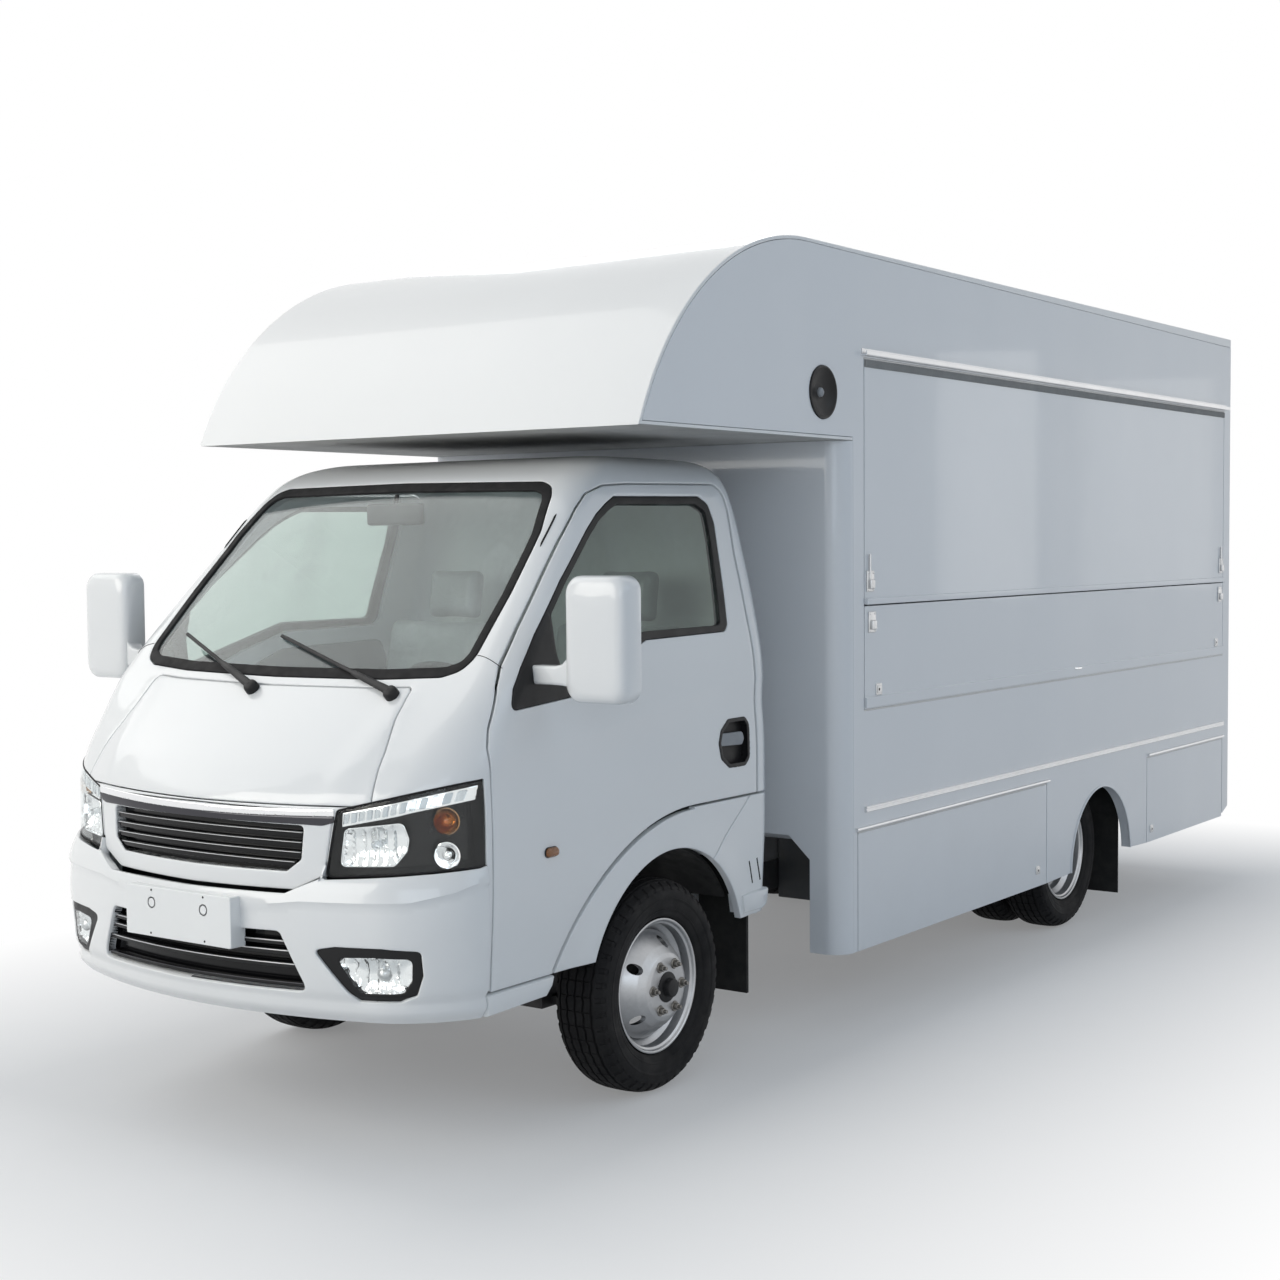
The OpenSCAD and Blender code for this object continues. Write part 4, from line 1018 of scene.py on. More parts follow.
def make_cab_shell():
    """The cab's shell: roof, pillars and back, with openings for the panels."""
    opening = offset(DOOR, 5)
    swung = opening + np.where(opening[:, :1] > 300, 1, 0) * (6, 0)
    screen, bonnet = offset(SCREEN_EDGE, 1.5), offset(BONNET_EDGE, 2)
    grille = offset(GRILLE_EDGE, 2)

    def keep(x, y, z):
        out = inside(swung, y, z) & (np.abs(x) > 500)
        out |= inside(screen, x, z) & (y < 0)
        out |= (inside(bonnet, x, z) | inside(grille, x, z)) & (y < -700)
        out |= in_lamp(x, y, z, 2)
        out |= (y < POST) & (z < 832)
        out |= (y > -600) & (y < 545) & (z < 868)
        out |= (z < 474) & (y < -555)
        out |= (y > 545) & (z < 868) & (np.abs(x) > 745)
        out |= z < 452
        return ~out

    lines = side_loop(swung) + front_loop(screen) + front_loop(bonnet) + front_loop(grille) + lamp_cut(cab, 2)
    lines += [level_line(cab, 452, -5, 5, 300), level_line(cab, 1949.8, -5, 5, 300), level_line(cab, 832, -3,
                                                                                                3, 200),
              level_line(cab, 868, -5, 5, 300), level_line(cab, 474, -3, 3, 200)]
    top = float(cab.v[-1])
    lines += [(np.array([[s * 5.0, .1], [s * 5.0, top - .1]]), False) for s in (1, -1)]
    lines += [upright(cab, POST, 452, 840, s) for s in (1, -1)]
    lines += [upright(cab, y, 452, 875, s) for s in (1, -1) for y in (-600, 545)]
    shell = skin("cab_shell_skin", cab, lines, keep, (WHITE, LINING), step=17, depth=26, r=2.5)
    ring = cab.point(np.linspace(-5, 5, 160), np.full(160, top - .2))
    mid = ring.mean(0)
    verts = [world(*q) for q in ring] + [world(mid[0], mid[1], mid[2] + 3)]
    cap = mesh_object("cab_roof_cap", verts, [(i, i + 1, 160) for i in range(159)], WHITE)
    recalc(cap)
    shell = join([shell, cap], "cab_shell_skin")
    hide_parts("cab_shell")


def make_doors():
    """Doors with their inner cards and armrests."""
    for s in (1, -1):
        hole, grip = offset(WINDOW, 1), resample(offset(fillet(HANDLE, 24), -6), 6)
        lines = [(on_side(line, cab, s), True) for line in (DOOR, hole, grip)]
        door = skin("cab_door_" + SIDE_NAME[s], cab, lines,
                    lambda x, y, z: inside(DOOR, y, z) & ~inside(hole, y, z) & ~inside(grip, y, z),
                    (WHITE, LINING),
                    HINGE_SIDE[s], 15, 40, 0, 3)
        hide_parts("door_" + SIDE_NAME[s])
        edge = resample(fillet(DOOR_CARD, 46), 14)
        card = side_panel("door_card_" + SIDE_NAME[s], s, edge, (DASH, DASH), HINGE_SIDE[s], step=22, depth=7,
                          lift=-38.5, r=2)
        rings = []
        for y, k in ((-330, .3), (-318, .8), (-290, 1), (230, 1), (262, .8), (275, .3)):
            outline = round_rect(58 * k, 46 * k, 16 * k, 5)
            rings.append([world(s * (728 + a), y, 1076 + (y + 330) * .06 + b) for a, b in outline])
        loft("door_armrest_" + SIDE_NAME[s], rings, BLACK, HINGE_SIDE[s])


def make_front():
    """Bonnet, grille surround and bumper."""
    edge = offset(BONNET_EDGE, -1.5)
    bonnet = skin("bonnet_skin", cab, front_loop(edge) + lamp_cut(cab, 2),
                  lambda x, y, z: inside(edge, x, z) & (y < -700) & ~in_lamp(x, y, z, 2), WHITE, step=16,
                  depth=24, r=3)
    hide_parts("bonnet")

    frame_piece = front_panel("grille_frame", cab, offset(GRILLE_EDGE, -1.5), WHITE, hole=SLOT_EDGE, step=12,
                              depth=34, r=4)
    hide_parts("grille_surround")

    grille, intake = offset(GRILLE_EDGE, 2), INTAKE_EDGE

    def keep(x, y, z):
        out = (inside(grille, x, z) & (y < -900)) | in_lamp(x, y, z, 2) | (y > POST - 1)
        out |= inside(intake, x, z) | inside(FOG_EDGE, np.abs(x), z)
        return ~out

    lines = front_loop(grille, nose) + front_loop(intake, nose) + front_pair(FOG_EDGE, nose) + lamp_cut(nose,
                                                                                                        2)
    lines += [level_line(nose, 405.5, -2.6, 2.6, 240), level_line(nose, 827.5, -2.6, 2.6, 240)]
    lines += [upright(nose, POST - 1, 405, 828, s) for s in (1, -1)]
    ridge = resample(np.array(SHELF, float), 9, False)
    lines += [(on_front((ridge + (0, d)) * (s, 1), nose), False) for s in (1, -1) for d in (0, -14)]
    bumper = skin("bumper_skin", nose, lines, keep, WHITE, step=15, depth=30, r=4)
    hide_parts("bumper")


def make_glass():
    """Windscreen and door panes with their seals."""
    seal = front_panel("screen_seal", cab, SCREEN_EDGE, SEAL, hole=offset(SCREEN_EDGE, -26), step=11, depth=9,
                       lift=1.5, r=2.5)
    screen = front_panel("screen_pane", cab, offset(SCREEN_EDGE, -14), SCREEN, step=24, depth=5, lift=-4, r=1)
    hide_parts("windscreen")
    for s in (1, -1):
        body, side = HINGE_SIDE[s], SIDE_NAME[s]
        seal = side_panel("window_seal_" + side, s, offset(WINDOW, -.5), BLACK, body, PANE, step=10, depth=22,
                          lift=-1.5, r=2)
        pane = side_panel("window_pane_" + side, s, offset(PANE, 6), SIDE_GLASS, body, step=24, depth=5,
                          lift=-9, r=1)
        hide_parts("door_glass_" + side)


def sunk(form, pv, deep):
    """A point on a form, moved in by deep, and the outward direction there."""
    p = form.point(pv[:, 0], pv[:, 1])[0]
    n = form.normal(pv[:, 0], pv[:, 1], form.point)[0]
    return world(*(p - n * deep)), Vector(n)


def spot(form, x, z, deep=0.0):
    """Such a point seen from the front."""
    return sunk(form, form.from_front(np.array([float(x)]), np.array([float(z)])), deep)


def spot_side(form, s, y, z, deep=0.0):
    """Such a point seen from one side."""
    return sunk(form, form.from_side(np.array([float(y)]), np.array([float(z)]), s), deep)


def facing(point, normal, up=(0, 0, 1)):
    """A matrix whose Z is the normal, whose Y is as near up as it can be."""
    z = Vector(normal).normalized()
    x = Vector(up).cross(z).normalized()
    y = z.cross(x)
    return Matrix.Translation(point) @ Matrix((x, y, z)).transposed().to_4x4()


def round_rect(w, h, r, n=5):
    """A rectangle about its middle with rounded corners."""
    pts = []
    for cx, cy, a in ((w / 2 - r, h / 2 - r, 0), (r - w / 2, h / 2 - r, 90), (r - w / 2, r - h / 2, 180),
                      (w / 2 - r, r - h / 2, 270)):
        pts += [(cx + r * math.cos(math.radians(a + 90 * i / n)),
                 cy + r * math.sin(math.radians(a + 90 * i / n)))
                for i in range(n + 1)]
    return pts


AHEAD = Vector((0, -1, 0))


def make_lamps():
    """Headlamps: a dark bowl, a strip of small lights on top, a main reflector and two small round ones."""
    def keep(x, y, z):
        return in_lamp(x, y, z, -.5)

    lines = lamp_cut(cab, -.5)
    lens_piece = skin("headlamp_lens", cab, lines, keep, CLEAR, step=15, depth=3.5, lift=-.5, r=1.2)
    bowl = skin("headlamp_bowl", cab, lines, keep, GLOSS_BLACK, step=15, depth=52, lift=-4, r=.5, bowl=True)
    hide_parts("headlamps")
    for s in (1, -1):
        name = SIDE_NAME[s]
        # Strip of lights under the upper edge
        grid = np.linspace(490, 784, 60)
        top, low = (np.interp(grid, [490, 640, 784], z) for z in ((965, 1002, 1038), (927, 959, 998)))
        outline = band(np.stack([grid, top], 1), np.stack([grid, low], 1))
        strip = front_panel("lamp_strip_" + name, cab, outline, SILVER, s, step=7, depth=14, lift=-12, r=2)
        cells = []
        for k in range(13):
            a, b = 494 + k * 21.6, 494 + k * 21.6 + 15
            quad = [(a, np.interp(a, grid, low) + 6), (b, np.interp(b, grid, low) + 6),
                    (b + 3, np.interp(b, grid, top) - 5), (a + 3, np.interp(a, grid, top) - 5)]
            edge = resample(fillet(quad, 4), 3)
            cells.append(front_panel("cell", cab, edge, LED if k % 2 else FROST, s, step=6, depth=6,
                                     lift=-8.5, r=1.5))
        join(cells, "lamp_cells_" + name)
        # Main reflector: a faceted trough with its bulb
        edge = resample(fillet([(500, 922), (655, 942), (668, 900), (664, 868), (636, 828), (488, 822)], 16),
                        5)
        shell = front_panel("lamp_reflector_" + name, cab, edge, SILVER, s, step=9, depth=34, lift=-12, r=.5,
                            bowl=True,
                            dish=(16, 9.0))
        rim = [spot(cab, s * x, z, 11)[0] for x, z in edge]
        tube("lamp_rim_" + name, rim, .0022, CHROME, closed=True)
        bulb = [(.0001, .03), (.010, .028), (.013, .018), (.013, -.012)]
        at = spot(cab, s * 588, 884, 40)[0]
        lathe("lamp_bulb_" + name, bulb, FROST, "chassis", at, AHEAD, 24)
        for z, glow, bright, tag in ((944, AMBER, AMBER_CUP, "upper"), (852, SILVER, SILVER, "lower")):
            at, n = spot(cab, s * 742, z, 16)
            aim = (n + AHEAD).normalized()
            cup = [(.037, .0), (.034, .002), (.031, -.004), (.024, -.020), (.012, -.027), (.0001, -.028)]
            lathe(f"lamp_cup_{tag}_{name}", cup, bright, "chassis", at, aim, 40)
            ball = [(.0001, .002), (.007, 0), (.010, -.007), (.009, -.02)]
            lathe(f"lamp_light_{tag}_{name}", ball, glow, "chassis", at, aim, 20)
        # Ribs behind the outer end
        ribs = []
        for k in range(6):
            y = -905 + k * 9
            pts = [spot_side(cab, s, y, z, 20)[0] for z in np.linspace(948, 998, 8)]
            ribs.append(tube("rib", pts, .0022, GLOSS_BLACK, sides=6))
        join(ribs, "lamp_ribs_" + name)
        # Dark seal around the lens
        edge = lamp_lines(.5)
        path = [spot(cab, s * x, z, 1.5)[0] for x, z in edge[::2]]
        tube("lamp_seal_" + name, path, .0032, SEAL)


def make_grille():
    """Grille: a bright bar over a dark chrome band, a painted dark reflection, and slim slats in a dark hollow.
    """
    x = np.linspace(-474, 474, 90)
    top = 968 + 8 * (np.abs(x) / 474) ** 2
    split = top - 20
    low = np.interp(np.abs(x), [0, 380, 440, 474], [930, 931, 930, 940])
    top, split, low = (np.stack([x, line], 1) for line in (top, split, low))
    bar = front_panel("grille_bright_bar", cab, band(top, split), CHROME, step=10, depth=12, lift=5, r=4)
    under = front_panel("grille_band_painted_reflection", cab, band(split, low), CHROME_PAINTED_DARK, step=10, depth=10, lift=2.5,
                        r=2)
    back = front_panel("grille_hollow", cab, SLOT_EDGE, GLOSS_BLACK, step=16, depth=28, lift=-5, r=.5,
                       bowl=True)
    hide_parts("grille")
    slats = []
    for z in (905, 878, 851, 824):
        half = np.interp(z, [802, 836, 930], [318, 370, 378])
        for dz, mats, h, up in ((0, GLOSS_BLACK, 7.5, -9), (6.4, STEEL, 1.3, -5)):
            xs = np.linspace(-half, half, 44)
            zc = z + dz - 3 * (xs / half) ** 2
            outline = band(np.stack([xs, zc + h], 1), np.stack([xs, zc - h], 1))
            slats.append(front_panel("slat", cab, outline, mats, step=16, depth=14, lift=up, r=2))
    join(slats, "grille_slats")


def make_lower_front():
    """Air intake, plate base and fog lamps in the bumper."""
    hollow = front_panel("intake_hollow", nose, INTAKE_EDGE, GLOSS_BLACK, step=16, depth=30, lift=-8, r=.5,
                         bowl=True)
    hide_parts("intake")
    bars = []
    for z0, z1 in ((622, 594), (596, 566), (560, 531), (508, 497)):
        wide, narrow = (np.linspace(-h, h, 40) for h in np.interp((z0, z1), (482, 646), (410, 332)))
        rows = [np.stack([x, np.full(40, z0 - d)], 1) for x, d in ((wide, 6), (narrow, 16), (wide, 3.5),
                                                                   (wide, 6.5))]
        bars.append(front_panel("bar", nose, band(*rows[:2]), BLACK, step=16, depth=16, lift=-12, r=2))
        # The lowest lip takes the dark copy of chrome: painted dark reflection
        lip = STEEL if z0 > 540 else CHROME_PAINTED_DARK
        bars.append(front_panel("lip", nose, band(*rows[2:]), lip, step=16, depth=6, lift=-10, r=1))
    join(bars, "intake_bars")
    for s in (1, -1):
        name = SIDE_NAME[s]
        bezel = front_panel("fog_bezel_" + name, nose, FOG_EDGE, BLACK, s, FOG_PANE, step=8, depth=24,
                            lift=-7, r=3)
        cup = front_panel("fog_cup_" + name, nose, FOG_PANE, SILVER, s, step=8, depth=34, lift=-11, r=.5,
                          bowl=True,
                          dish=(22, 9.0))
        at, n = spot(nose, s * 622, 538, 30)
        profile = [(.0001, .012), (.008, .011), (.016, .004), (.021, -.004), (.021, -.012)]
        bulb = lathe("fog_bulb_" + name, profile, STEEL, "chassis", at, n, 28)
        cover = front_panel("fog_lens_" + name, nose, offset(FOG_PANE, -1), CLEAR, s, step=9, depth=3,
                            lift=-9, r=1)
        if s == 1:
            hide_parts("fog_lamps")


def loft(name, rings, mats, body="chassis", caps=True, sharp=38.0):
    """A closed skin through rings of points in metres, all with the same number of points."""
    n = len(rings[0])
    verts = [v for ring in rings for v in ring]
    faces = []
    for k in range(len(rings) - 1):
        for i in range(n):
            j = (i + 1) % n
            faces.append((k * n + i, k * n + j, (k + 1) * n + j, (k + 1) * n + i))
    if caps:
        faces.append(tuple(range(n))[::-1])
        faces.append(tuple((len(rings) - 1) * n + i for i in range(n)))
    return recalc(mesh_object(name, verts, faces, mats, body, sharp=sharp))


def side_block(name, outline, levels, mats, s=1):
    """A block with rounded sides: an outline seen from the side, with its inset at each place across."""
    line = np.array(outline, float)
    return loft(name, [[world(s * x, y, z) for y, z in offset(line, -d)] for x, d in levels], mats)


def flare_relief(b):
    """Fender: the cab's side swelling towards the wheel arch."""
    y, z = b[..., 1], b[..., 2]
    d = np.hypot(y - ARCH[0], z - ARCH[1]) - ARCH[2]
    swell = 11 * np.exp(-(np.maximum(d, 0) / 70.0) ** 2) * step_up(-620, -480, y)
    return np.minimum(swell, 806 - np.abs(b[..., 0])) * (np.abs(b[..., 0]) > 600)


flank = Form(CAB, flare_relief)
FENDER_CUT = ((470, 861), (240, 687))
CUT_HALF = 1.6
FENDER_SLOTS = [((467, 648), (492, 573)), ((514, 652), (540, 577))]


def make_fenders():
    """Fenders with their vents, feet, sills and the side markers."""
    end = fender_edge(-13)
    outer = resample(np.vstack([[[598, 470], [598, 861], [FENDER_ARC[0], 861]], end, [[end[-1][0], 470]]]),
                     11)
    arch = arc(ARCH[:2], ARCH[2], 16.5, 163.5, 90)

    def across(p, a, b):
        a, b = np.array(a, float), np.array(b, float)
        u = (b - a) / np.linalg.norm(b - a)
        return (p[0] - a[0]) * -u[1] + (p[1] - a[1]) * u[0]

    def keep(x, y, z):
        ok = inside(outer, y, z) & (np.hypot(y - ARCH[0], z - ARCH[1]) > ARCH[2])
        return ok & (np.abs(across((y, z), *FENDER_CUT)) > CUT_HALF)

    def cut_lines(s):
        a, b = (np.array(q, float) for q in FENDER_CUT)
        u = (b - a) / np.linalg.norm(b - a)
        n = np.array([-u[1], u[0]])
        rows = []
        for off in (-CUT_HALF, CUT_HALF):
            p = np.linspace(a - u * 10, b + u * 30, 40) + n * off
            p = p[p[:, 1] > 455]
            rows.append((on_side(p, flank, s), False))
        return rows

    for s in (1, -1):
        name = SIDE_NAME[s]
        lines = [(on_side(outer, flank, s), True), (on_side(arch, flank, s), False)] + cut_lines(s)
        fender = skin("fender_" + name, flank, lines, keep, WHITE, step=11, depth=24, r=3)
        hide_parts("cab_shell")
        vents = []
        for a, b in FENDER_SLOTS:
            path = [spot_side(flank, s, *np.array(a) + (np.array(b) - a) * t, .3)[0] for t in np.linspace(0,
                                                                                                          1,
                                                                                                          8)]
            vents.append(tube("vent", path, .0042, BLACK, sides=8, flat=.25, up=(s, 0, 0)))
        join(vents, "fender_vents_" + name)
        # Rounded foot of the rear corner and the sill ahead of the wheel
        foot = [(426, 484), (536, 484), (560, 494), (570, 520), (572, 548), (414, 544)]
        levels = ((742, 6), (745, 0), (794, 0), (801, 3), (804, 9))
        corner = side_block("fender_foot_" + name, foot, levels, WHITE, s)
        sill_line = [(POST + 2, 408), (-590, 414), (-562, 440), (-552, 466), (POST + 2, 466)]
        levels = ((742, 5), (745, 0), (784, 0), (790, 2.5), (792, 7))
        sill = side_block("sill_" + name, sill_line, levels, WHITE, s)
        # Side marker on the door
        at, n = spot_side(cab, s, -573, 819)
        lamp_place = facing(at - n * .002, n)
        base = slab("marker_base_" + name, [(x * .001, y * .001) for x, y in round_rect(58, 30, 14)], .006,
                    lamp_place, BLACK,
                    HINGE_SIDE[s], .002)
        rings = []
        for h, d in ((.003, 2), (.009, 2), (.013, 5), (.0145, 10)):
            rings.append([lamp_place @ Vector((x * .001, y * .001, h)) for x, y in round_rect(58 - 2 * d,
                                                                                              30 - 2 * d,
                                                                                              max(14 - d,
                                                                                                  3))])
        cap = loft("marker_lens_" + name, rings, AMBER, HINGE_SIDE[s])


MIRROR_AT = (1000, -600, 1418)


def make_mirrors():
    """Door mirrors on their arms, with the black sail at the window's front corner."""
    for s in (1, -1):
        name, body = SIDE_NAME[s], HINGE_SIDE[s]
        cx, cy, cz = MIRROR_AT

        def ring(w, h, r, y):
            return [world(s * (cx + x), cy + y, cz + z) for x, z in round_rect(w, h, r, 9)]

        rings = [ring(184, 326, 34, 39), ring(186, 328, 35, 43.5), ring(194, 336, 39, 43.8), ring(200, 342,
                                                                                                  41, 42)]
        rings += [ring(204, 346, 42, 36), ring(204, 346, 42, -6), ring(201, 343, 43, -22), ring(192, 334, 46,
                                                                                                -34)]
        rings += [ring(172, 314, 48, -42), ring(140, 280, 48, -45), ring(60, 190, 28, -46)]
        head = loft("mirror_head_" + name, rings, WHITE, body)
        glass_place = Matrix.Translation(world(s * cx, cy + 36.6, cz)) @ Matrix.Rotation(math.radians(90), 4,
                                                                                         "X").inverted()
        pane = slab("mirror_glass_" + name, [(x * .001, z * .001) for x, z in round_rect(182, 324, 33, 8)],
                    .003, glass_place,
                    CHROME, body, .0008)
        rings = []
        for x, w, low, high, r in ((774, 40, 1297, 1338, 6), (777, 47, 1293.5, 1341.5, 8), (783, 52, 1291,
                                                                                            1344, 9),
                                                                                            (860, 52, 1291,
                                                                                             1344, 9),
                                   (884, 53, 1290, 1350, 9), (900, 54, 1288, 1366, 9), (908, 54, 1286, 1392,
                                                                                        9)):
            rings.append([world(s * x, cy + a - 4, (low + high) / 2 + b) for a, b in round_rect(w, high - low,
                                                                                                r, 5)])
        arm = loft("mirror_arm_" + name, rings, WHITE, body)
        boss = lathe("mirror_boss_" + name, [(.0001, .016), (.024, .015), (.033, .010), (.036, 0),
                                             (.036, -.014)], BLACK, body,
                     world(s * 762, cy, 1316), (s, 0, 0), 36)
        rim = resample(fillet(offset(np.array(SAIL, float), -2.5), 14), 9)
        sail = side_panel("mirror_sail_" + name, s, rim, BLACK, body, step=10, depth=18, lift=-.5, r=3)
        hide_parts("mirror_" + name)


# Side, place of the spindle, turn in degrees and length
WIPERS = (("right", -50, -883, 155.5, 460), ("left", 470, -855.4, 161, 590))


def make_wipers():
    """Wiper arms on their spindles."""
    pieces = []
    for name, x, y, turn, length in WIPERS:
        place = Matrix.Translation(world(x, y, 1262)) @ Matrix.Rotation(math.radians(45), 4, "X")
        way = place @ Matrix.Rotation(math.radians(turn), 4, "Z")
        up = way.to_3x3() @ Vector((0, 0, 1))
        boss = lathe("boss", [(.0001, .027), (.013, .0265), (.0185, .0235), (.021, .018), (.022, .0015)],
                     BLACK, "chassis",
                     place @ Vector((0, 0, 0)), up, 32)
        stations = [(0, .0205, .0135), (.03, .0212, .0130), (.10, .0208, .0112), (.18, .0205, .0094),
                    (.19, .0205, .0064)]
        stations += [(length * .001 * t, .0205, .0060) for t in np.linspace(.5, .94,
                                                                            6)] + [(length * .001 - .004,
                                                                                    .0185, .0056)]
        path = [way @ Vector((a, 0, h)) for a, h, r in stations]
        arm = tube("arm", path, [r for a, h, r in stations], BLACK, sides=12, flat=.55, up=up)
        end = way @ Vector((length * .001 - .012, 0, .018))
        hook = tube("hook", [end, end - up * .006 + (way.to_3x3() @ Vector((.006, 0, 0))), end - up * .009],
                    .0036, BLACK, sides=8)
        pieces += [boss, arm, hook]
    wipers = join(pieces, "wiper_arms")
    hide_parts("wipers")


# Wheels: sizes of the tyre and the rim, in metres

TYRE_R, TYRE_W, RIM_D, RIM_W, DISC_OUT = .327, .190, .414, .148, .107
# Places across of the front wheel's disc and of the plane where the twins' discs meet
FRONT_FACE, TWIN_MEET = .792, .593
# The tread's pitches round the tyre, its edges along one pitch, and its grooves' place and zigzag
PITCHES = 45
PITCH_STEPS = (0, .05, .30, .36, .95)
PITCH_SAW = (-1, -.8, .6, 1, -.8)
GROOVES = ((0.0, .0016), (.029, .0024), (-.029, -.0024), (.056, .0012), (-.056, -.0012))


def tread_rows(half):
    """Rows across the crown: place, zigzag and depth, with a groove's four edges and a shoulder's notch."""
    rows = [(g + d, zig, deep) for g, zig in GROOVES for d, deep in ((-.004, 0), (-.003, .0075),
                                                                     (.003, .0075), (.004, 0))]
    rows += [(side * at, 0, 0) for side in (1, -1) for at in (.0145, .0425, .0665, .0675, .0755, half)]
    return np.array(sorted(rows, reverse=True)).T


def wall_rows():
    """Rows up one wall, as radius and place across, with two raised rings."""
    w, b = TYRE_W / 2, RIM_D / 2
    wall = [(b - .010, RIM_W / 2 - .013), (b + .001, RIM_W / 2 - .008), (b + .006, RIM_W / 2 + .002),
            (b + .012, RIM_W / 2 + .006)]
    wall += [(b + .022, w - .011), (TYRE_R - .085, w - .0045), (TYRE_R - .068, w - .0015), (TYRE_R - .050,
                                                                                            w - .0005)]
    wall += [(TYRE_R - .034, w - .004), (TYRE_R - .022, w - .0095)]
    known, across = np.array(wall).T
    rings = [(c + d, up) for c in (TYRE_R - .060, b + .026) for d, up in ((-.003, 0), (-.002, .0012),
                                                                          (.002, .0012), (.003, 0))]
    plain = [*known, b + .016, TYRE_R - .042, TYRE_R - .033, TYRE_R - .028]
    radius, lift = np.array(sorted(rings + [(r, 0) for r in plain])).T
    return radius, np.interp(radius, known, across) + lift


def tyre_mesh(at, out):
    """A road tyre about an axis along X: ribs between zigzag grooves, notched shoulders, ringed walls."""
    half = TYRE_W / 2 - .012
    s0, zig, groove = tread_rows(half)
    wall_r, wall_s = wall_rows()
    shoulder = wall_r > TYRE_R - .034
    n, m = len(PITCH_STEPS), len(s0) + 2 * len(wall_r)
    notched = PITCH_STEPS.index(.30)
    count = PITCHES * n
    verts, faces = [], []
    for i in range(count):
        k = i % n
        t = 2 * math.pi * (i // n + PITCH_STEPS[k]) / PITCHES
        s = s0 + zig * PITCH_SAW[k]
        dip = np.maximum(groove, .0032 * (k == 0) * (np.abs(s0) < .054))
        dip = np.maximum(dip, .0055 * (k <= notched) * (np.abs(s0) > .067))
        r = TYRE_R - .0005 - .017 * (np.abs(s) / half) ** 5 - .004 * (s / half) ** 2 * .763 - dip
        side = wall_s - .0035 * shoulder * (k <= notched)
        ring = zip(np.concatenate([wall_r, r, wall_r[::-1]]), np.concatenate([side, s, -side[::-1]]))
        verts += [(at[0] + q * out, at[1] + p * math.cos(t), at[2] + p * math.sin(t)) for p, q in ring]
        j = (i + 1) % count
        faces += [(i * m + k, i * m + k + 1, j * m + k + 1, j * m + k) for k in range(m - 1)]
    return verts, faces


def tyre(name, places, body):
    """The tyres of one body as one piece."""
    verts, faces = [], []
    for at, out in places:
        v, f = tyre_mesh(at, out)
        faces += [tuple(len(verts) + k for k in q) for q in f]
        verts += v
    return recalc(mesh_object(name, verts, faces, TYRE, body, sharp=50), 1e-7)


def drilled(obj, at, axis, radius, ring, number, phase):
    """Cuts a ring of round holes."""
    u = axis.orthogonal().normalized()
    v = axis.cross(u)
    bits = []
    for i in range(number):
        a = 2 * math.pi * i / number + phase
        mid = at + ring * (u * math.cos(a) + v * math.sin(a))
        bits.append(lathe("bit", [(.0001, -.12), (radius, -.12), (radius, .12), (.0001, .12)], STEEL,
                          "chassis", mid, axis, 32))
    cutter = join(bits, "bits")
    mod = obj.modifiers.new("holes", "BOOLEAN")
    mod.operation, mod.solver, mod.object = "DIFFERENCE", "EXACT", cutter
    bpy.context.view_layer.objects.active = obj
    bpy.ops.object.modifier_apply(modifier=mod.name)
    bpy.data.objects.remove(cutter)
    obj.data.shade_smooth()
    obj.data.set_sharp_from_angle(angle=math.radians(38))
    return obj


def rounded(points, r):
    """A turned section in metres with its corners rounded by r millimetres."""
    return resample(fillet(np.array(points, float) * 1000, r, every=24), 12) * .001


def rim_pieces(body, at, ax):
    """One steel rim and its domed disc. ax points from the tyre's middle to the disc's face."""
    f, w, o = RIM_D / 2, RIM_W / 2, DISC_OUT
    half = [(f - .0005, w - .004), (f - .001, w), (f - .006, w + .0005), (f - .009, w - .002),
            (f - .012, w - .009),
            (f - .019, w - .012), (f - .0195, w - .042), (f - .0385, w - .058)]
    seat = [(f - .0135, w - .010), (f - .0145, w - .040), (f - .0345, w - .056)]
    section = half + [(r, -t) for r, t in half[::-1]] + [(r, -t) for r, t in seat] + seat[::-1]
    section = [tuple(q) for q in rounded(section, 2.2)]
    ring = lathe("rim", section + section[:1], RIM, body, at, ax, 72)
    face = [(.034, o - .001), (.090, o - .001), (.103, o - .006), (.124, o - .026), (.150, o - .060),
            (.166, o - .080), (.1685, o - .096),
            (.164, o - .098), (.146, o - .076), (.118, o - .036), (.098, o - .016), (.088, o - .011),
            (.034, o - .011)]
    prof = [tuple(q) for q in rounded(face, 7)]
    plate = lathe("disc", prof + [prof[0]], RIM, body, at, ax, 72)
    plate = drilled(plate, at, ax, .0165, .134, 5, .55)
    return [ring, plate]


def nuts(body, at, axis, circle=.076, number=6):
    """A ring of wheel nuts with their seats and studs."""
    u = axis.orthogonal().normalized()
    v = axis.cross(u)
    pieces = []
    for i in range(number):
        a = 2 * math.pi * i / number + .26
        p = at + circle * (u * math.cos(a) + v * math.sin(a))
        pieces.append(lathe("seat", [(.0001, .004), (.015, .004), (.0165, .002), (.0165, -.002)], NUT, body,
                            p, axis, 24))
        hexagon = [(.0108 * math.cos(math.pi * k / 3), .0108 * math.sin(math.pi * k / 3)) for k in range(6)]
        pieces.append(slab("nut", hexagon, .0125, facing(p + axis * .003, axis, u), NUT, body, .0012))
        pieces.append(lathe("stud", [(.0001, .0255), (.0046, .0255), (.0056, .0245), (.0056, .008)], NUT,
                            body, p, axis, 16))
    return pieces


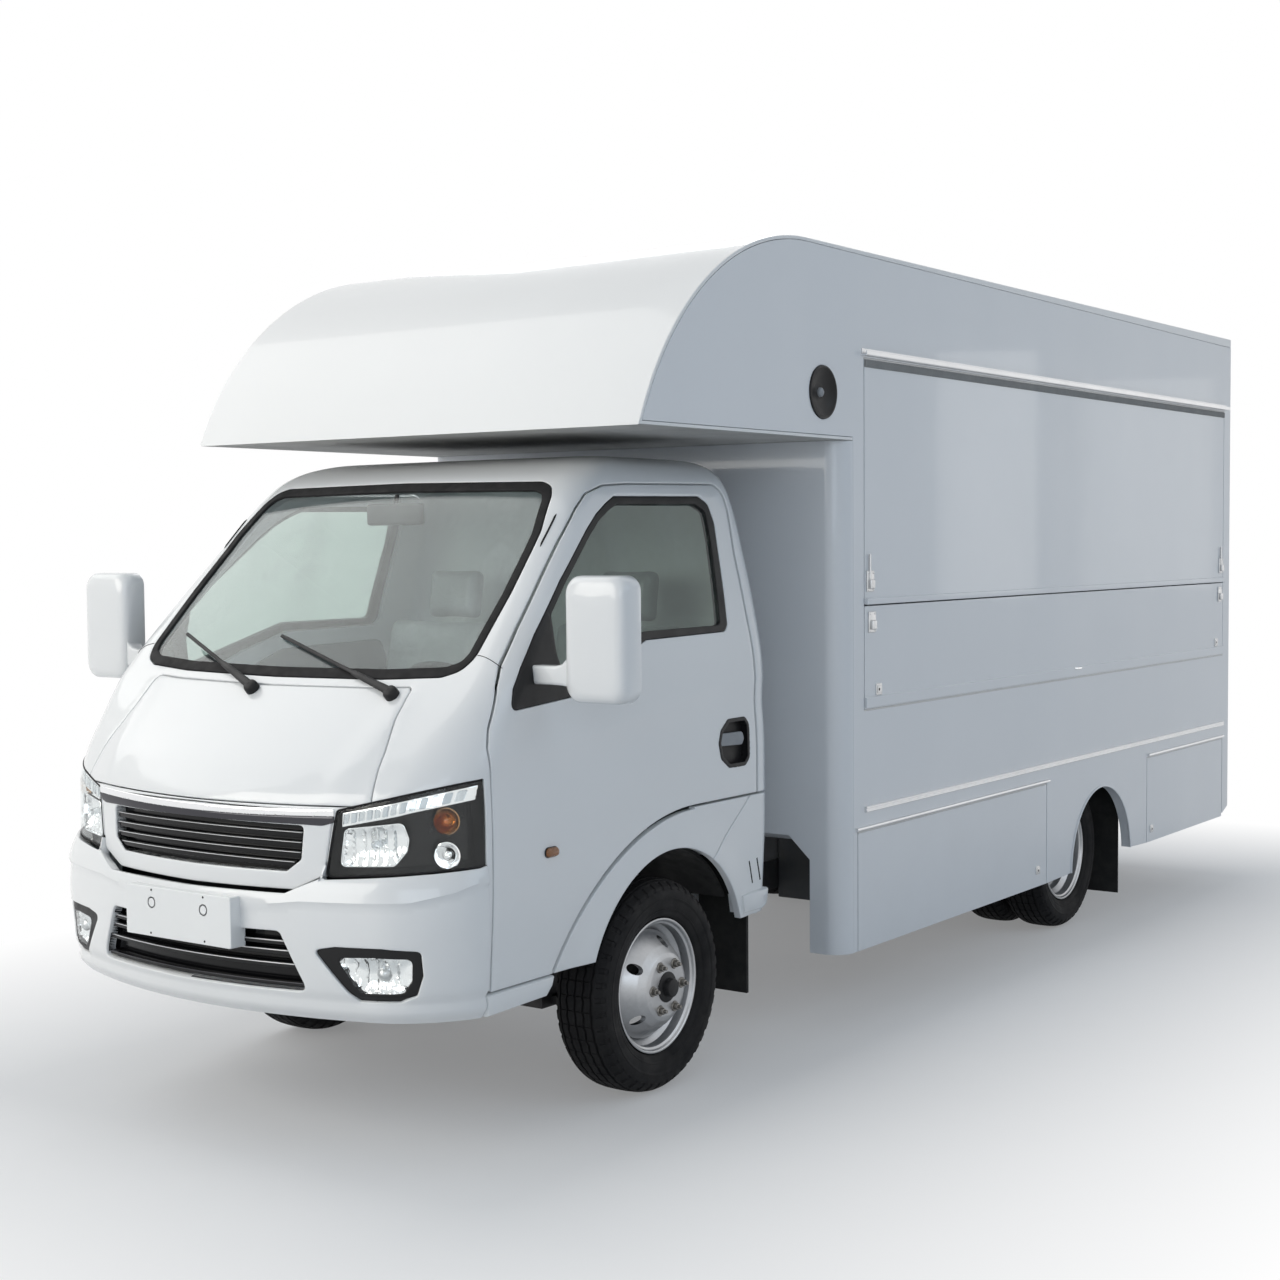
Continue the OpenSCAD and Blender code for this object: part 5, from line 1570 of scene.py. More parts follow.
def make_wheels():
    """Front wheels, and the twins on each side at the rear."""
    for s in (1, -1):
        name = SIDE_NAME[s]
        body = "wheel_front_" + name
        axle_z = JOINT["spin_front_" + name]["pos_m"][2]
        mid = Vector((s * (FRONT_FACE - DISC_OUT), AXLE_Y, axle_z))
        ax = Vector((s, 0, 0))
        rubber_piece = tyre("tyre_tread_front_" + name, [(mid, s)], body)
        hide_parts("tyre_front_" + name)
        top = mid + ax * (DISC_OUT - .001)
        wheel = join(rim_pieces(body, mid, ax) + nuts(body, top, ax), "steel_wheel_front_" + name)
        hub = lathe("hub_front_" + name, [(.0001, .0255), (.022, .0255), (.027, .024), (.029, .020),
                                          (.030, .006), (.0385, .004), (.0465, .002),
                                          (.0475, -.004), (.0475, -.10), (.030, -.118)], BLACK, body, top, ax,
                                          48)
        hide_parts("wheel_front_" + name)
        body = "wheel_rear_" + name
        y = JOINT["spin_rear_" + name]["pos_m"][1]
        meet = Vector((s * TWIN_MEET, y, axle_z))
        pair = tyre("tyre_tread_rear_" + name, [(meet + ax * DISC_OUT, s), (meet - ax * DISC_OUT, s)], body)
        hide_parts("tyres_rear_" + name)
        rims = rim_pieces(body, meet + ax * (DISC_OUT + .0005), -ax)
        rims += rim_pieces(body, meet - ax * (DISC_OUT + .0005), ax)
        rims += nuts(body, meet + ax * .012, ax)
        wheel = join(rims, "steel_wheel_rear_" + name)
        hub = lathe("hub_rear_" + name, [(.0001, .078), (.040, .078), (.046, .075), (.048, .068),
                                         (.052, .020), (.058, .018), (.058, -.058),
                                         (.040, -.060)], CAST, body, meet, ax, 48)
        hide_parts("wheel_rear_" + name)


def pad(name, half, r, place, mats, crown=.02, pull=.008, channels=(), cross=(), cuts=36):
    """A stuffed cushion: a rounded box crowned on its +Z side, sides pulled in, with sewn channels."""
    bm = bmesh.new()
    bmesh.ops.create_cube(bm, size=2)
    bmesh.ops.subdivide_edges(bm, edges=list(bm.edges), cuts=cuts, use_grid_fill=True)
    h = np.array(half)
    for v in bm.verts:
        p = np.array(v.co) * h
        q = np.clip(p, -(h - r), h - r)
        d = p - q
        n = np.linalg.norm(d)
        if n > 1e-9:
            p = q + d / n * r
        u = p / h
        face = step_up(-.2, .9, u[2])
        bulge = (1 - min(abs(u[0]), 1) ** 2.4) * (1 - min(abs(u[1]), 1) ** 2.4)
        p[2] += crown * face * bulge - crown * face
        p[0] -= np.sign(u[0]) * pull * abs(u[0]) ** 3 * (1 - u[1] ** 2)
        p[1] -= np.sign(u[1]) * pull * abs(u[1]) ** 3 * (1 - u[0] ** 2)
        top = step_up(.3, .8, u[2])
        for c in channels:
            p[2] -= top * .007 * math.exp(-((p[0] - c) / .006) ** 2) * (abs(u[1]) < .93)
        for c in cross:
            p[2] -= top * .007 * math.exp(-((p[1] - c) / .006) ** 2) * (abs(u[0]) < .93)
        v.co = p
    bm.transform(place)
    return bmesh_object(name, bm, mats, sharp=None)


def make_seats():
    """Two seats, each a cushion, a back and a headrest."""
    for s in (1, -1):
        name = SIDE_NAME[s]
        at = world(s * 375, -60, 887)
        base = pad("seat_cushion_" + name, (.262, .266, .070), .048, Matrix.Translation(at), CLOTH, .024,
                   .010, (-.16, .16), (.11, -.09))
        lean = math.atan2(120, 480)
        mid = world(s * 375, 290, 1183)
        turn = Matrix.Rotation(math.radians(90) - lean, 4, "X")
        back = pad("seat_back_" + name, (.252, .235, .052), .042, Matrix.Translation(mid) @ turn, CLOTH, .020,
                   .008, (-.15, .15), (.09,))
        lean = math.atan2(27, 190)
        top = world(s * 375, 391, 1502)
        turn = Matrix.Rotation(math.radians(90) - lean, 4, "X")
        rest = pad("seat_headrest_" + name, (.112, .085, .038), .032, Matrix.Translation(top) @ turn, CLOTH,
                   .010, .006, (), (), 24)
        for p in (base, back, rest):
            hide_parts("seats")


def rise(name, loops, levels, place, mats, body="chassis"):
    """A plate with rounded front edges: loops are outlines in millimetres, the first its rim and the others
    holes, levels are (inset, depth) rows, and place(u, v, depth) gives a point in metres."""
    bm = bmesh.new()
    first, last = [], []
    for k, loop in enumerate(loops):
        loop = np.asarray(loop, float)
        rows = []
        for inset, depth in levels:
            ring = offset(loop, -inset if k == 0 else inset) if inset else loop
            rows.append([bm.verts.new(place(u, v, depth)) for u, v in ring])
        n = len(loop)
        for a, b in zip(rows, rows[1:]):
            for i in range(n):
                j = (i + 1) % n
                bm.faces.new((a[i], a[j], b[j], b[i]))
        for ring, edges in ((rows[0], first), (rows[-1], last)):
            edges += [bm.edges.get((ring[i], ring[(i + 1) % n])) for i in range(n)]
    bmesh.ops.triangle_fill(bm, use_beauty=True, edges=first)
    bmesh.ops.triangle_fill(bm, use_beauty=True, edges=last)
    bmesh.ops.recalc_face_normals(bm, faces=bm.faces)
    obj = bmesh_object(name, bm, mats, body, 40)
    even = obj.modifiers.new("even", "WEIGHTED_NORMAL")
    even.keep_sharp = True
    return obj


def rounding(b, depth):
    """Rows of a quarter round of radius b in front of a straight wall."""
    rows = [(b * (1 - math.sin(a)), b * (1 - math.cos(a))) for a in np.radians([0, 30, 60, 90])]
    return rows + [(0, depth)]


def rail(name, section, y0, y1, mats, body="chassis", s=1):
    """A straight extrusion along the truck: section in x, z, mirrored for the right side."""
    return loft(name, [[world(s * x, y, z) for x, z in section] for y in (y0, y1)], mats, body, sharp=30)


# Box sizes, the same as the solids', in millimetres

BOX_X, WALL, ROOF_Z, NOSE_Z, NOSE_R, NOSE_Y = 912, 40, 2655, 2014, 1016, 647
BOX_FRONT, CORNER_R, BOX_REAR, SKIRT_Z, SKIRT_REAR_Z = 868, 75, 4762, 276, 296
HATCH = (1018, 4671, 1099, 2298)
SKIRT_HINGE = 684
SKIRT_A, SKIRT_B = (975, 2545), (3662, 4672)
REAR_ARCH = (3128, 282, 330)
SPEAKER = (743, 2165, 88)
EDGE_TRIM, TRIM_REAR, GAP = 12, 40, 5


def nose_line(d, n=64):
    """The nose's curve from its lower front edge to the roof, moved in by d."""
    r, cz = NOSE_R - d, ROOF_Z - NOSE_R
    return arc((NOSE_Y, cz), r, 180 - math.degrees(math.asin((NOSE_Z + d - cz) / r)), 90, n)


def make_box_shell():
    """Roof with nose, and the two side walls with their openings and rails."""
    end = BOX_FRONT + CORNER_R
    outer = np.vstack([[[end, NOSE_Z]], nose_line(0), [[BOX_REAR, ROOF_Z], [BOX_REAR, ROOF_Z - TRIM_REAR]],
                       nose_line(EDGE_TRIM)[::-1], [[end, NOSE_Z + EDGE_TRIM]]])
    levels = rounding(4, BOX_X)
    roof = rise("box_roof_shell", [outer], levels, lambda y, z, d: world(BOX_X - d, y, z), ROOF_WHITE_PAINTED_LIGHT)
    other = rise("roof_half", [outer], levels, lambda y, z, d: world(d - BOX_X, y, z), ROOF_WHITE_PAINTED_LIGHT)
    roof = join([roof, other], "box_roof_shell")
    # Faces that look down under the nose take the grey: painted shade under the overhang
    roof.data.materials.append(UNDERSIDE_PAINTED_SHADE)
    for f in roof.data.polygons:
        if f.normal.z < -.7 and f.center.z < (NOSE_Z + 4) * .001:
            f.material_index = 1
    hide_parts("box_roof")

    trim = EDGE_TRIM + 1
    feet = arc(REAR_ARCH[:2], REAR_ARCH[2], 0, 180, 48)
    feet = feet[(feet[:, 1] > SKIRT_REAR_Z) | (feet[:, 0] < REAR_ARCH[0]) & (feet[:, 1] > SKIRT_Z)]
    top = SKIRT_HINGE + GAP / 2
    low = [(end, SKIRT_Z), (SKIRT_A[0] - GAP, SKIRT_Z), (SKIRT_A[0] - GAP, top), (SKIRT_A[1] + GAP, top),
           (SKIRT_A[1] + GAP, SKIRT_Z)]
    after = [(SKIRT_B[0] - GAP, SKIRT_REAR_Z), (SKIRT_B[0] - GAP, top), (SKIRT_B[1] + GAP, top),
             (SKIRT_B[1] + GAP, 311), (4692, 312)]
    wall = np.vstack([nose_line(trim), [[BOX_REAR, ROOF_Z - TRIM_REAR - 1], [BOX_REAR, 340]], after[::-1],
                      feet, low[::-1],
                      [[end, NOSE_Z + trim]]])
    hole = [(HATCH[0], HATCH[2] - 2.5), (HATCH[1], HATCH[2] - 2.5), (HATCH[1], HATCH[3]),
            (HATCH[0], HATCH[3])]
    round_hole = arc(SPEAKER[:2], SPEAKER[2], 0, 360, 48)[:-1]
    for s in (1, -1):
        name = SIDE_NAME[s]
        side = rise("box_side_" + name + "_panel", [wall, hole, round_hole], rounding(2.2, WALL),
                    lambda y, z, d: world(s * (BOX_X - d), y, z), BOX_WHITE_PAINTED_SHADE)
        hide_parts("box_side_" + name)
        x = BOX_X
        gutter = [(x - .5, 2303), (x + 20, 2303), (x + 23.5, 2306), (x + 23.5, 2318), (x + 21, 2319),
                  (x + 20, 2309), (x + 5, 2308), (x + 4, 2327),
                  (x - .5, 2327)]
        bead = [(x - .5, 749), (x + 8, 749), (x + 11.5, 751.5), (x + 11.5, 754.5), (x + 8.5, 757),
                (x + 8.5, 761), (x + 11.5, 763.5),
                (x + 11.5, 766.5), (x + 8, 769), (x - .5, 769)]
        bar = [(x - .5, 690), (x + 7, 690), (x + 10, 691.5), (x + 11.7, 694.5), (x + 11.7, 697.5),
               (x + 10, 700.5), (x + 7, 702), (x - .5, 702)]
        rails = [rail("gutter", gutter, HATCH[0] - 20, HATCH[1] + 20, ALU, s=s), rail("bead", bead, HATCH[0],
                                                                                      HATCH[1], ALU, s=s)]
        rails += [rail("bar", bar, a, b, ALU, s=s) for a, b in ((SKIRT_A[0] - 20, SKIRT_A[1] + 15), SKIRT_B)]
        for y0, y1, z in ((HATCH[0], HATCH[1], HATCH[3] - 2.5), (HATCH[0], HATCH[1], HATCH[2]),
                          (*SKIRT_A, SKIRT_HINGE), (*SKIRT_B, SKIRT_HINGE)):
            path = [world(s * (x - 2.4), y, z) for y in (y0, y1)]
            rails.append(tube("rod", path, .0021, STEEL, sides=12))
        rails = join(rails, "box_rails_" + name)
        lip = [world(s * (x + 1.2), y, z) for y, z in feet]
        sheet = soft_box("flap_sheet_" + name, world(s * 500, 3471, 436), world(s * 862, 3477, 684), FLAP,
                         "chassis", .002)
        arch_lip = tube("rear_arch_lip_" + name, lip, .0042, BOX_WHITE_PAINTED_SHADE, sides=10)
        cone = [(.0001, -.008), (.010, -.009), (.018, -.013), (.024, -.016), (.030, -.0165), (.040, -.015),
                (.055, -.011), (.070, -.005),
                (.078, .0015), (.082, .0052), (.0868, .0045), (.0876, .001), (.0876, -.036), (.0001, -.037)]
        cap = lathe("speaker_cap_" + name, [(.0001, .001), (.009, -.0005), (.0145, -.005), (.016, -.012)],
                    GREY_TRIM, "chassis",
                    world(s * x, SPEAKER[0], SPEAKER[1]), (s, 0, 0), 32)
        horn = lathe("speaker_" + name, cone, BLACK, "chassis", world(s * x, SPEAKER[0], SPEAKER[1]),
                     (s, 0, 0), 64)
        if s == 1:
            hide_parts("speakers")


def latch(at, s, body, rod):
    """A lever latch on a flap: base, lever and a rod up to its keeper."""
    p = [soft_box("base", world(s * BOX_X, at[0] - 25, at[1] - 36), world(s * (BOX_X + 5), at[0] + 25,
                                                                          at[1] + 36), STEEL, body, .003)]
    p.append(soft_box("lever", world(s * (BOX_X + 4), at[0] - 14, at[1] - 26), world(s * (BOX_X + 15),
                                                                                     at[0] + 16, at[1] + 6),
                                                                                     STEEL, body, .004))
    p.append(lathe("pivot", [(.0001, .016), (.007, .016), (.009, .014), (.009, 0)], STEEL, body,
                   world(s * BOX_X, at[0], at[1] - 16), (s, 0, 0), 20))
    if rod:
        p.append(tube("rod", [world(s * (BOX_X + 6), at[0] - 8, at[1] + z) for z in (4, 40, 92)], .004, STEEL,
                      body, sides=10))
    for dy in (-18, 18):
        for dz in (-29, 29):
            p.append(lathe("screw", [(.0001, .0072), (.003, .007), (.0042, .0055), (.0042, .003)], STEEL,
                           body,
                           world(s * BOX_X, at[0] + dy, at[1] + dz), (s, 0, 0), 14))
    return p


def paddle(at, s, body, size):
    """A square push lock with its key hole."""
    a = size / 2
    p = [soft_box("frame", world(s * (BOX_X - 1), at[0] - a, at[1] - a), world(s * (BOX_X + 4), at[0] + a,
                                                                               at[1] + a), STEEL, body, .003)]
    p.append(soft_box("push", world(s * (BOX_X + 3), at[0] - a * .72, at[1] - a * .66),
                      world(s * (BOX_X + 7), at[0] + a * .72, at[1] + a * .66), STEEL, body, .003))
    p.append(lathe("key", [(.0001, .0082), (.0035, .0082), (.005, .007), (.005, .002)], BLACK, body,
                   world(s * BOX_X, at[0] - a * .32, at[1]), (s, 0, 0), 18))
    return p


def make_box_fittings():
    """Latches, locks, handle and seals on the flaps."""
    for s in (1, -1):
        name = SIDE_NAME[s]
        hatch, counter = "hatch_" + name, "counter_" + name
        rear = HATCH[0] + HATCH[1]
        top = latch((1058, 1540), s, hatch, True) + latch((rear - 1058, 1540), s, hatch, True)
        join(top, "hatch_latches_" + name)
        low = latch((1070, 1400), s, counter, False) + latch((rear - 1070, 1400), s, counter, False)
        low += paddle((1120, 1166), s, counter, 40) + paddle((rear - 1120, 1166), s, counter, 40)
        join(low, "counter_latches_" + name)
        grip = [world(s * (BOX_X + x), y, 1139) for x, y in ((6, 2816), (13, 2821), (15, 2832), (15, 2858),
                                                             (13, 2870), (6, 2875))]
        pull = tube("counter_handle_" + name, grip, .0046, CHROME, counter, sides=12)
        for flap, at in (("skirt_front_", (2458, 343)), ("skirt_rear_", (3716, 354))):
            join(paddle(at, s, flap + name, 34), flap + "lock_" + name)
        strip = [(BOX_X - .5, 2266), (BOX_X + 2.5, 2266), (BOX_X + 4.2, 2271), (BOX_X + 4.2, 2288),
                 (BOX_X + 2.5, 2291.5), (BOX_X - .5, 2291.5)]
        seal = rail("hatch_seal_" + name, strip, HATCH[0] + GAP, HATCH[1] - GAP, GREY_SEAL, hatch, s)


def make_plate_base():
    """Base of the number plate with its screw caps, and the plate's fixing holes."""
    w, z0, z1, y0, y1 = 212, 592, 732, -1227.2, -1174
    block = rise("plate_base", [fillet([(-w, z0), (w, z0), (w, z1), (-w, z1)], 6)], rounding(3, y1 - y0),
                 lambda x, z, d: world(x, y0 + d, z), PLATE)
    caps = []
    hole = [(.0001, .0006), (.0032, .0006), (.0036, -.001)]
    for x in (-105, 105):
        caps.append(lathe("cap", [(.0001, -.0005), (.010, -.0005), (.0125, .0), (.016, .0), (.0165, -.002)],
                          GREY_TRIM, "chassis",
                          world(x, y0, 688), (0, -1, 0), 28))
        caps += [lathe("hole", hole, BLACK, "chassis", world(hx, y0, z), AHEAD, 14) for hx, z in ((x, 723),
                                                                                                  (x * 1.04,
                                                                                                   602))]
    join(caps, "plate_fixings")


def make_door_handles():
    """Door handles: a bezel, a cup behind it and the lever."""
    edge = resample(fillet(HANDLE, 24), 5)
    inner = offset(edge, -13)
    rim = resample(fillet([(306, 1034), (428, 1030), (440, 1050), (430, 1072), (312, 1074), (300, 1054)], 12),
                   5)
    for s in (1, -1):
        name, body = SIDE_NAME[s], HINGE_SIDE[s]
        bezel = side_panel("handle_bezel_" + name, s, edge, BLACK, body, inner, step=6, depth=9, lift=2.5,
                           r=2.5)
        cup = side_panel("handle_cup_" + name, s, inner, BLACK, body, step=7, depth=24, lift=1, r=.5,
                         bowl=True)
        lever = side_panel("handle_lever_" + name, s, rim, GREY_TRIM, body, step=6, depth=9, lift=-2, r=3)


def make_pillar_trim():
    """Black vent slot in the screen pillar and the seam between pillar and wing."""
    for s in (1, -1):
        name = SIDE_NAME[s]
        slot = [spot_side(cab, s, -429 + 91 * t, 1669 + 94 * t, .2)[0] for t in np.linspace(0, 1, 12)]
        slot_piece = tube("pillar_slot_" + name, slot, [.002] + [.0052] * 10 + [.002], BLACK, sides=10,
                          flat=.3, up=(s, 0, .3))
        seam = [spot(cab, s * (664 + 83 * t), 1372 - 4 * t - 29 * t * t, -.2)[0] for t in np.linspace(0, 1,
                                                                                                      10)]
        seam_piece = tube("pillar_seam_" + name, seam, .0011, SEAL, sides=6)


def make_interior():
    """Dashboard, steering wheel, inner mirror and visors."""
    section = fillet([(-880, 1019), (-600, 1019), (-552, 1060), (-590, 1190), (-680, 1250), (-760, 1250),
                      (-820, 1190), (-868, 1100)], 34)
    section = resample(section, 14)
    dash = side_block("dash_shell", section, ((-559, 10), (-556, 3), (-548, 0), (548, 0), (556, 3),
                                              (559, 10)), DASH)
    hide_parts("dashboard")
    at, tilt = world(360, -420, 1215), Matrix.Rotation(math.radians(-38), 4, "X")
    place = Matrix.Translation(at) @ tilt
    up = place.to_3x3() @ Vector((0, 0, 1))
    ring = [place @ Vector((.180 * math.cos(t), .180 * math.sin(t), 0)) for t in np.linspace(0, 2 * math.pi,
                                                                                             72,
                                                                                             endpoint=False)]
    parts = [tube("rim", ring, .0125, BLACK, closed=True, sides=14)]
    for a in (90, 210, 330):
        u = place.to_3x3() @ Vector((math.cos(math.radians(a)), math.sin(math.radians(a)), 0))
        parts.append(tube("spoke", [at + u * r - up * h for r, h in ((.03, .012), (.10, .011), (.176, .002))],
                          [.019, .015, .012], BLACK, sides=12, flat=.4,
                          up=up))
    parts.append(lathe("boss", [(.0001, .006), (.030, .005), (.046, -.002), (.052, -.014), (.050, -.032),
                                (.032, -.038), (.030, -.235)], BLACK,
                       "chassis", at, up, 40))
    wheel = join(parts, "steering_wheel_rim")
    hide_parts("steering_wheel")
    hood = soft_box("instrument_hood", world(230, -790, 1225), world(490, -640, 1262), DASH, "chassis", .016)
    vents = []
    for x in (-470, -120, 120, 520):
        vents.append(soft_box("vent", world(x - 44, -598, 1150), world(x + 24, -570, 1186), BLACK, "chassis",
                              .006))
    vents.append(soft_box("panel", world(-100, -600, 1052), world(100, -556, 1140), BLACK, "chassis", .008))
    join(vents, "dash_vents")
    p, n = spot(cab, 0, 1800, 40)
    mirror = soft_box("inner_mirror", p - Vector((.115, .012, .034)), p + Vector((.115, .012, .034)), BLACK,
                      "chassis", .010)
    stem = tube("mirror_stem", [p + Vector((0, 0, .02)), p + Vector((0, .01, .06))], .007, BLACK)
    join([mirror, stem], "inner_mirror")
    for s in (1, -1):
        a = world(s * 330, -150, 1872)
        visor = soft_box("sun_visor_" + SIDE_NAME[s], a - Vector((.19, .075, .009)),
                         a + Vector((.19, .075, .009)), GREY_TRIM, "chassis", .008,
                         turn=Matrix.Rotation(math.radians(12), 4, "X"))


def make_rear():
    """Rear door's glass, seal, handle and hinges, lamps and step."""
    body = "rear_door"
    y = BOX_REAR
    hole = np.array([(-230, 1560), (230, 1560), (230, 2080), (-230, 2080)], float)
    wide, clear = (resample(fillet(offset(hole, d), r), 12) for d, r in ((16, 22), (-12, 20)))
    gasket = rise("rear_window_seal", [wide, clear], rounding(3, 8), lambda x, z, d: world(x, y + 6 - d, z),
                  SEAL, body)
    pane_line = resample(offset(hole, -3), 30)
    pane = rise("rear_window_pane", [pane_line], [(1, 0), (0, 1), (0, 5)], lambda x, z,
                d: world(x, y - 10 - d, z), SIDE_GLASS, body)
    grip = soft_box("base", world(285, y - 1, 1380), world(325, y + 5, 1500), STEEL, body, .003)
    bar = tube("bar", [world(305, y + d, z) for d, z in ((3, 1400), (10, 1404), (12, 1415), (12, 1465),
                                                         (10, 1476), (3, 1480))], .0065, BLACK, body,
                                                         sides=14)
    key = lathe("key", [(.0001, .012), (.008, .012), (.010, .009), (.010, 0)], STEEL, body, world(305, y,
                                                                                                  1350),
                                                                                                  (0, 1, 0),
                                                                                                  24)
    join([grip, bar, key], "rear_door_handle")
    hinges = []
    for z in (950, 1530, 2050):
        hinges.append(soft_box("leaf", world(-355, y - 1, z - 45), world(-300, y + 3, z + 45), STEEL, body,
                               .002))
    join(hinges, "rear_door_hinges")
    for s in (1, -1):
        name = SIDE_NAME[s]
        base = soft_box("tail_base_" + name, world(s * 640, y, 500), world(s * 860, y + 8, 590), BLACK,
                        "chassis", .006)
        if s == 1:
            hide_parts("tail_lamps")
        for k, (a, b, mats) in enumerate(((648, 728, FROST), (731, 790, AMBER), (793, 852, RED))):
            line = fillet([(a, 507), (b, 507), (b, 583), (a, 583)], 7)
            cover = rise(f"tail_lens_{k}_{name}", [line], rounding(4, 12), lambda x, z, d: world(s * x,
                                                                                                 y + 17.5 - d,
                                                                                                 z), mats)
    treads = []
    lo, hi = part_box("rear_step")
    for k in range(9):
        cx = -.72 + k * .18
        for y0 in (lo[1] + .012, hi[1] - .024):
            low, high = (cx - .075, y0, hi[2] - .001), (cx + .075, y0 + .012, hi[2] + .0025)
            treads.append(soft_box("tread", low, high, FLAP, "chassis", .002))
    join(treads, "step_treads")


def smooth_group():
    """Geometry nodes that shade a solid's curved faces smooth and keep its edges crisp."""
    tree = bpy.data.node_groups.new("smooth_faces", "GeometryNodeTree")
    tree.interface.new_socket("Geometry", in_out="INPUT", socket_type="NodeSocketGeometry")
    tree.interface.new_socket("Geometry", in_out="OUTPUT", socket_type="NodeSocketGeometry")
    start, end = tree.nodes.new("NodeGroupInput"), tree.nodes.new("NodeGroupOutput")
    angle = tree.nodes.new("GeometryNodeInputMeshEdgeAngle")
    crisp = tree.nodes.new("FunctionNodeCompare")
    crisp.data_type, crisp.operation = "FLOAT", "LESS_THAN"
    crisp.inputs[1].default_value = math.radians(32)
    faces, edges = tree.nodes.new("GeometryNodeSetShadeSmooth"), tree.nodes.new("GeometryNodeSetShadeSmooth")
    faces.domain, edges.domain = "FACE", "EDGE"
    tree.links.new(angle.outputs["Unsigned Angle"], crisp.inputs[0])
    tree.links.new(start.outputs[0], faces.inputs["Geometry"])
    tree.links.new(faces.outputs[0], edges.inputs["Geometry"])
    tree.links.new(crisp.outputs[0], edges.inputs["Shade Smooth"])
    tree.links.new(edges.outputs[0], end.inputs[0])
    return tree


def soften(node, shading, width):
    """Shades a CAD node smooth and rounds its edges with modifiers; its mesh stays as it is."""
    o = NODES[node]
    weld = o.modifiers.new("weld", "WELD")
    weld.merge_threshold = .00005
    if width:
        bevel = o.modifiers.new("edge", "BEVEL")
        bevel.width, bevel.segments = width, 2
        bevel.limit_method, bevel.angle_limit = "ANGLE", math.radians(40)
    shade = o.modifiers.new("shade", "NODES")
    shade.node_group = shading
    if width:
        even = o.modifiers.new("even", "WEIGHTED_NORMAL")
        even.keep_sharp = True


# Material and edge rounding of each CAD node that shows
FINISHES = {
    "chassis_frame": (FRAME_BLACK, .002), "front_suspension": (FRAME_BLACK, .002), "rear_axle": (CAST, .002),
    "leaf_springs": (FRAME_BLACK, .0015), "engine": (CAST, .006), "propshaft": (STEEL, 0),
    "fuel_tank": (TANK, .008), "exhaust": (PIPE, 0), "cab_floor": (FLOOR_MAT, .003),
    "mudguards": (FLAP, .001), "box_floor": (ALU, .001), "box_front_wall": (BOX_WHITE_PAINTED_SHADE, .0015),
    "box_rear_wall": (BOX_WHITE_PAINTED_SHADE, .002), "rear_door": (BOX_WHITE_PAINTED_SHADE, .003), "rear_step": (FRAME_BLACK, .004)}
for side_name in SIDE_NAME.values():
    FINISHES["knuckle_" + side_name] = CAST, .002
    for flap_name in ("hatch_", "counter_", "skirt_front_", "skirt_rear_"):
        FINISHES[flap_name + side_name] = BOX_WHITE_PAINTED_SHADE, .002


def finish_nodes():
    """Dresses and softens the CAD nodes that show."""
    shading = smooth_group()
    for node, (mats, width) in FINISHES.items():
        for slot in NODES[node].material_slots:
            slot.material = mats
        soften(node, shading, width)


make_cab_shell()
make_doors()
make_front()
make_glass()
make_lamps()
make_grille()
make_lower_front()
make_fenders()
make_mirrors()
make_wipers()
make_wheels()
make_seats()
make_box_shell()
make_box_fittings()
make_plate_base()
make_door_handles()
make_pillar_trim()
make_interior()
make_rear()
finish_nodes()

# Light and floor


